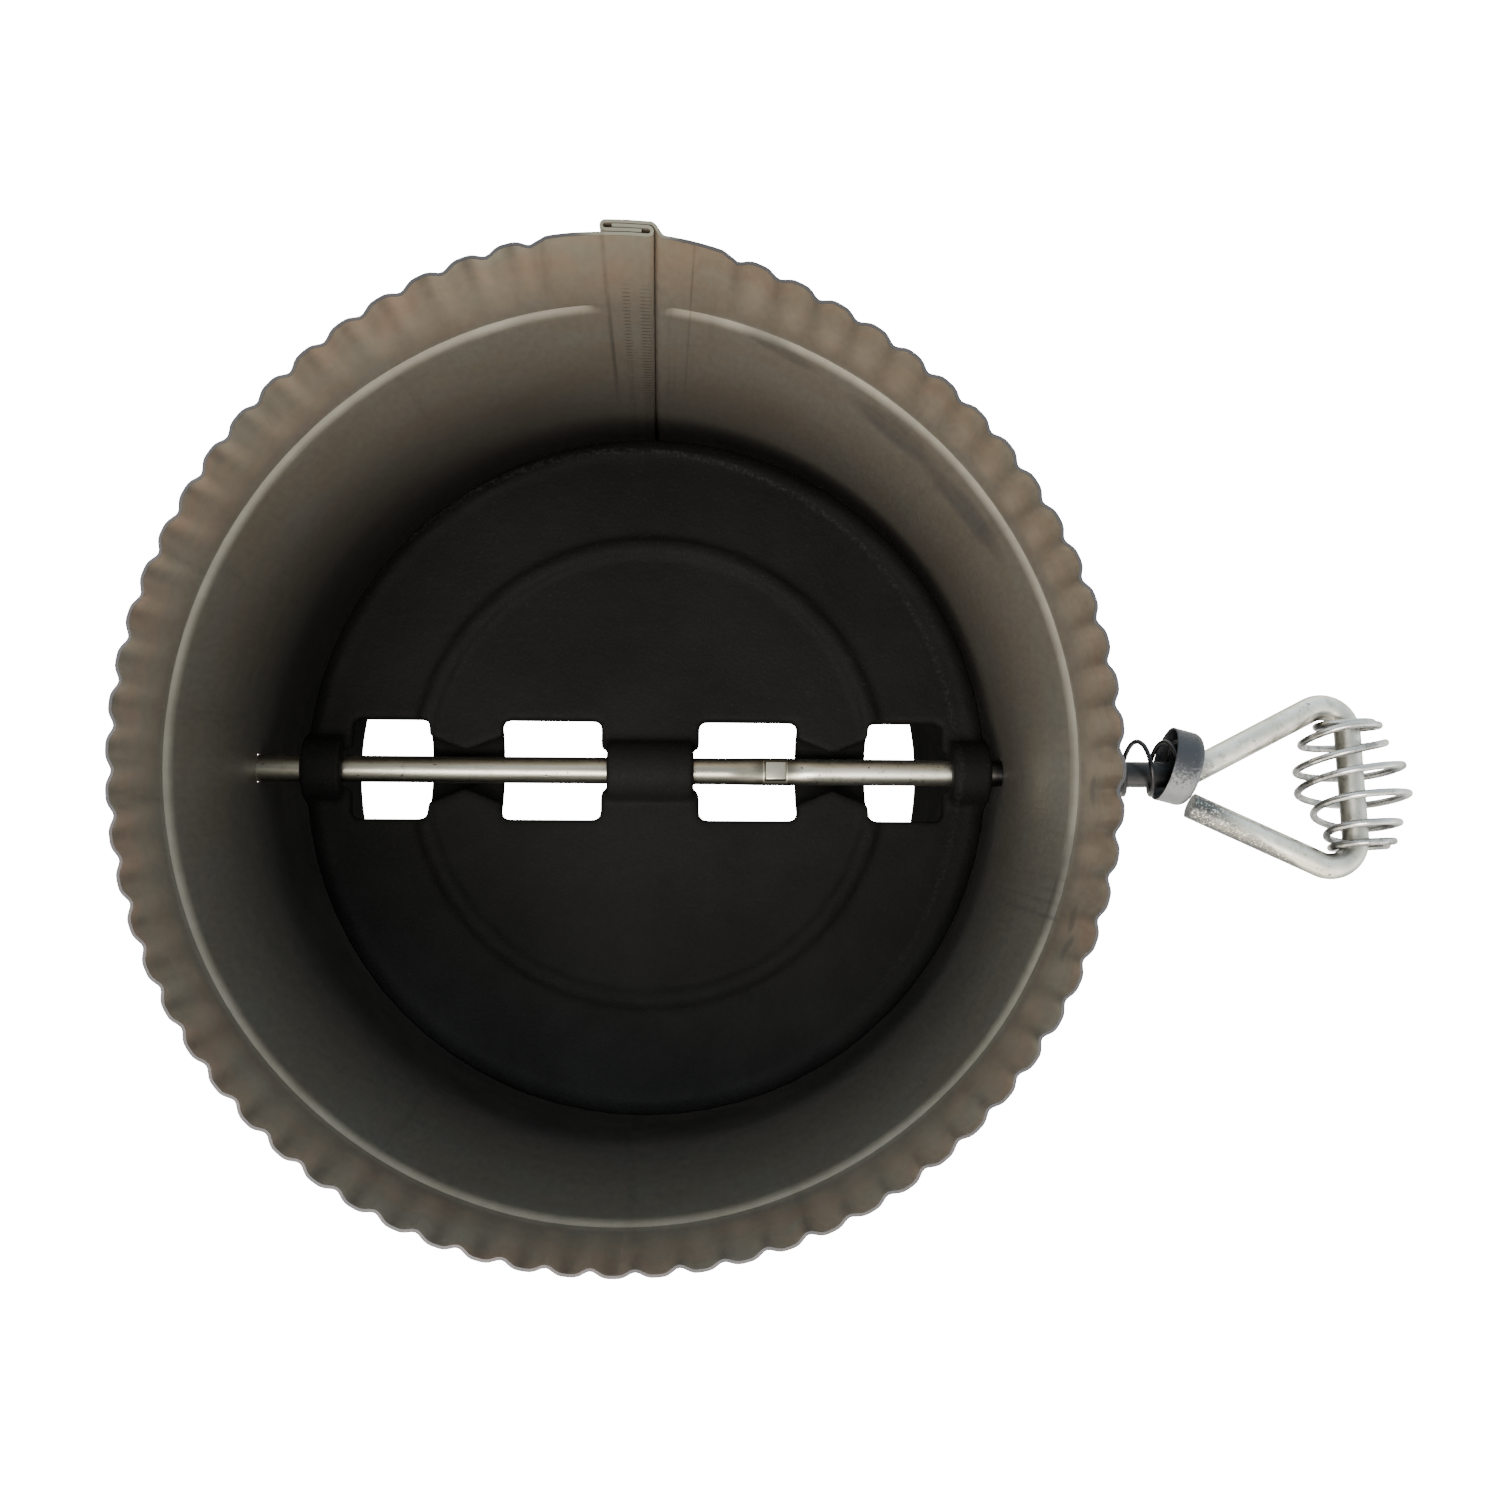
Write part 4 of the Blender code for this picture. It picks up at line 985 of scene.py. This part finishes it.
def bounce_card():
    """Pale outside the pipe and dark inside it, where the flue's own shade falls."""
    m = Shader("bounce_card")
    azimuth, radius, _ = m.around(PIPE_AXIS)
    outside = m.ramp(radius, OUTER_RADIUS - 2 * MM, OUTER_RADIUS + 30 * MM)
    color = m.mix(outside, rgb(0.01, 0.01, 0.01), rgb(0.75, 0.75, 0.74))
    # Painted light: inside the pipe's footprint the card glows faintly, brighter towards -Y, and lights the
    # wall from below
    glow = m.mix(m.ramp(m.math("COSINE", azimuth), 0.6, -0.6), rgb(0.4, 0.4, 0.4), rgb(1.0, 1.0, 1.0))
    m.feed(m.shader.inputs["Emission Color"], m.mix(outside, glow, rgb(0.0, 0.0, 0.0)))
    m.shader.inputs["Emission Strength"].default_value = BASE_GLOW
    return m.finish(color, 0.9, 0.0, Specular_IOR_Level=0.1)


def make_floor():
    """The camera sees a plain white floor; the light bounces off a matt one just below it."""
    card = floor_plane("floor", -0.2 * MM, white_card)
    card.visible_diffuse = False
    card.visible_glossy = False
    card.visible_transmission = False
    card.visible_shadow = False
    under = floor_plane("floor_base", -0.6 * MM, bounce_card)
    under.visible_camera = False


def make_lamp():
    """One soft round lamp that looks down into the pipe."""
    target = PIPE_AXIS + Vector((0, 0, LAMP_TARGET_HEIGHT))
    level = LAMP_DISTANCE * math.cos(LAMP_ELEVATION)
    height = LAMP_DISTANCE * math.sin(LAMP_ELEVATION)
    place = target + Vector((level * math.sin(LAMP_AZIMUTH), level * math.cos(LAMP_AZIMUTH), height))
    lamp = bpy.data.lights.new("lamp", "AREA")
    lamp.shape = "DISK"
    lamp.size = LAMP_SIZE
    lamp.energy = LAMP_POWER
    lamp.color = LAMP_COLOR
    thing = add_object("lamp", lamp)
    thing.location = place
    thing.rotation_euler = (target - place).to_track_quat("-Z", "Y").to_euler()


def make_sky():
    """A broad sky, brighter and warmer on one side and brightest at the horizon."""
    world = bpy.data.worlds.new("studio")
    world.use_nodes = True
    tree = world.node_tree

    def node(kind, **values):
        """A new node with values in its named sockets."""
        made = tree.nodes.new(kind)
        for key, value in values.items():
            made.inputs[key.replace("_", " ")].default_value = value
        return made

    background = tree.nodes["Background"]
    direction = tree.nodes.new("ShaderNodeTexCoord").outputs["Generated"]
    toward = tree.nodes.new("ShaderNodeVectorMath")
    toward.operation = "DOT_PRODUCT"
    toward.inputs[1].default_value = (math.sin(SKY_AZIMUTH), math.cos(SKY_AZIMUTH), 0.0)
    tree.links.new(direction, toward.inputs[0])
    side = node("ShaderNodeMapRange", From_Min=-1.0, To_Min=1 - SKY_SLOPE, To_Max=1 + SKY_SLOPE)
    tree.links.new(toward.outputs["Value"], side.inputs["Value"])
    parts = tree.nodes.new("ShaderNodeSeparateXYZ")
    tree.links.new(direction, parts.inputs[0])
    height = node("ShaderNodeMapRange", To_Min=SKY_HORIZON, To_Max=SKY_ZENITH)
    tree.links.new(parts.outputs["Z"], height.inputs["Value"])
    strength = tree.nodes.new("ShaderNodeMath")
    strength.operation = "MULTIPLY"
    tree.links.new(side.outputs["Result"], strength.inputs[0])
    tree.links.new(height.outputs["Result"], strength.inputs[1])
    tree.links.new(strength.outputs["Value"], background.inputs["Strength"])
    tint = tree.nodes.new("ShaderNodeMapRange")
    tint.data_type = "FLOAT_VECTOR"
    tree.links.new(toward.outputs["Value"], tint.inputs["Vector"])
    # Inputs 7, 9 and 10 of a vector map range are its From Min, To Min and To Max
    tint.inputs[7].default_value = (-1.0, -1.0, -1.0)
    tint.inputs[9].default_value = SKY_DIM_SIDE
    tint.inputs[10].default_value = SKY_BRIGHT_SIDE
    tree.links.new(tint.outputs["Vector"], background.inputs["Color"])
    bpy.context.scene.world = world


def make_camera():
    lens = bpy.data.cameras.new("camera")
    lens.lens = LENS
    lens.sensor_width = SENSOR_WIDTH
    lens.sensor_fit = "HORIZONTAL"
    lens.clip_start = 0.01
    camera = add_object("camera", lens)
    camera.location = PIPE_AXIS + CAMERA_PLACE
    camera.rotation_euler = CAMERA_TURN
    bpy.context.scene.camera = camera


make_pipe()
make_plate()
make_rod()
make_spring()
make_cup()
make_grip_coil()
make_floor()
make_sky()
make_lamp()
make_camera()
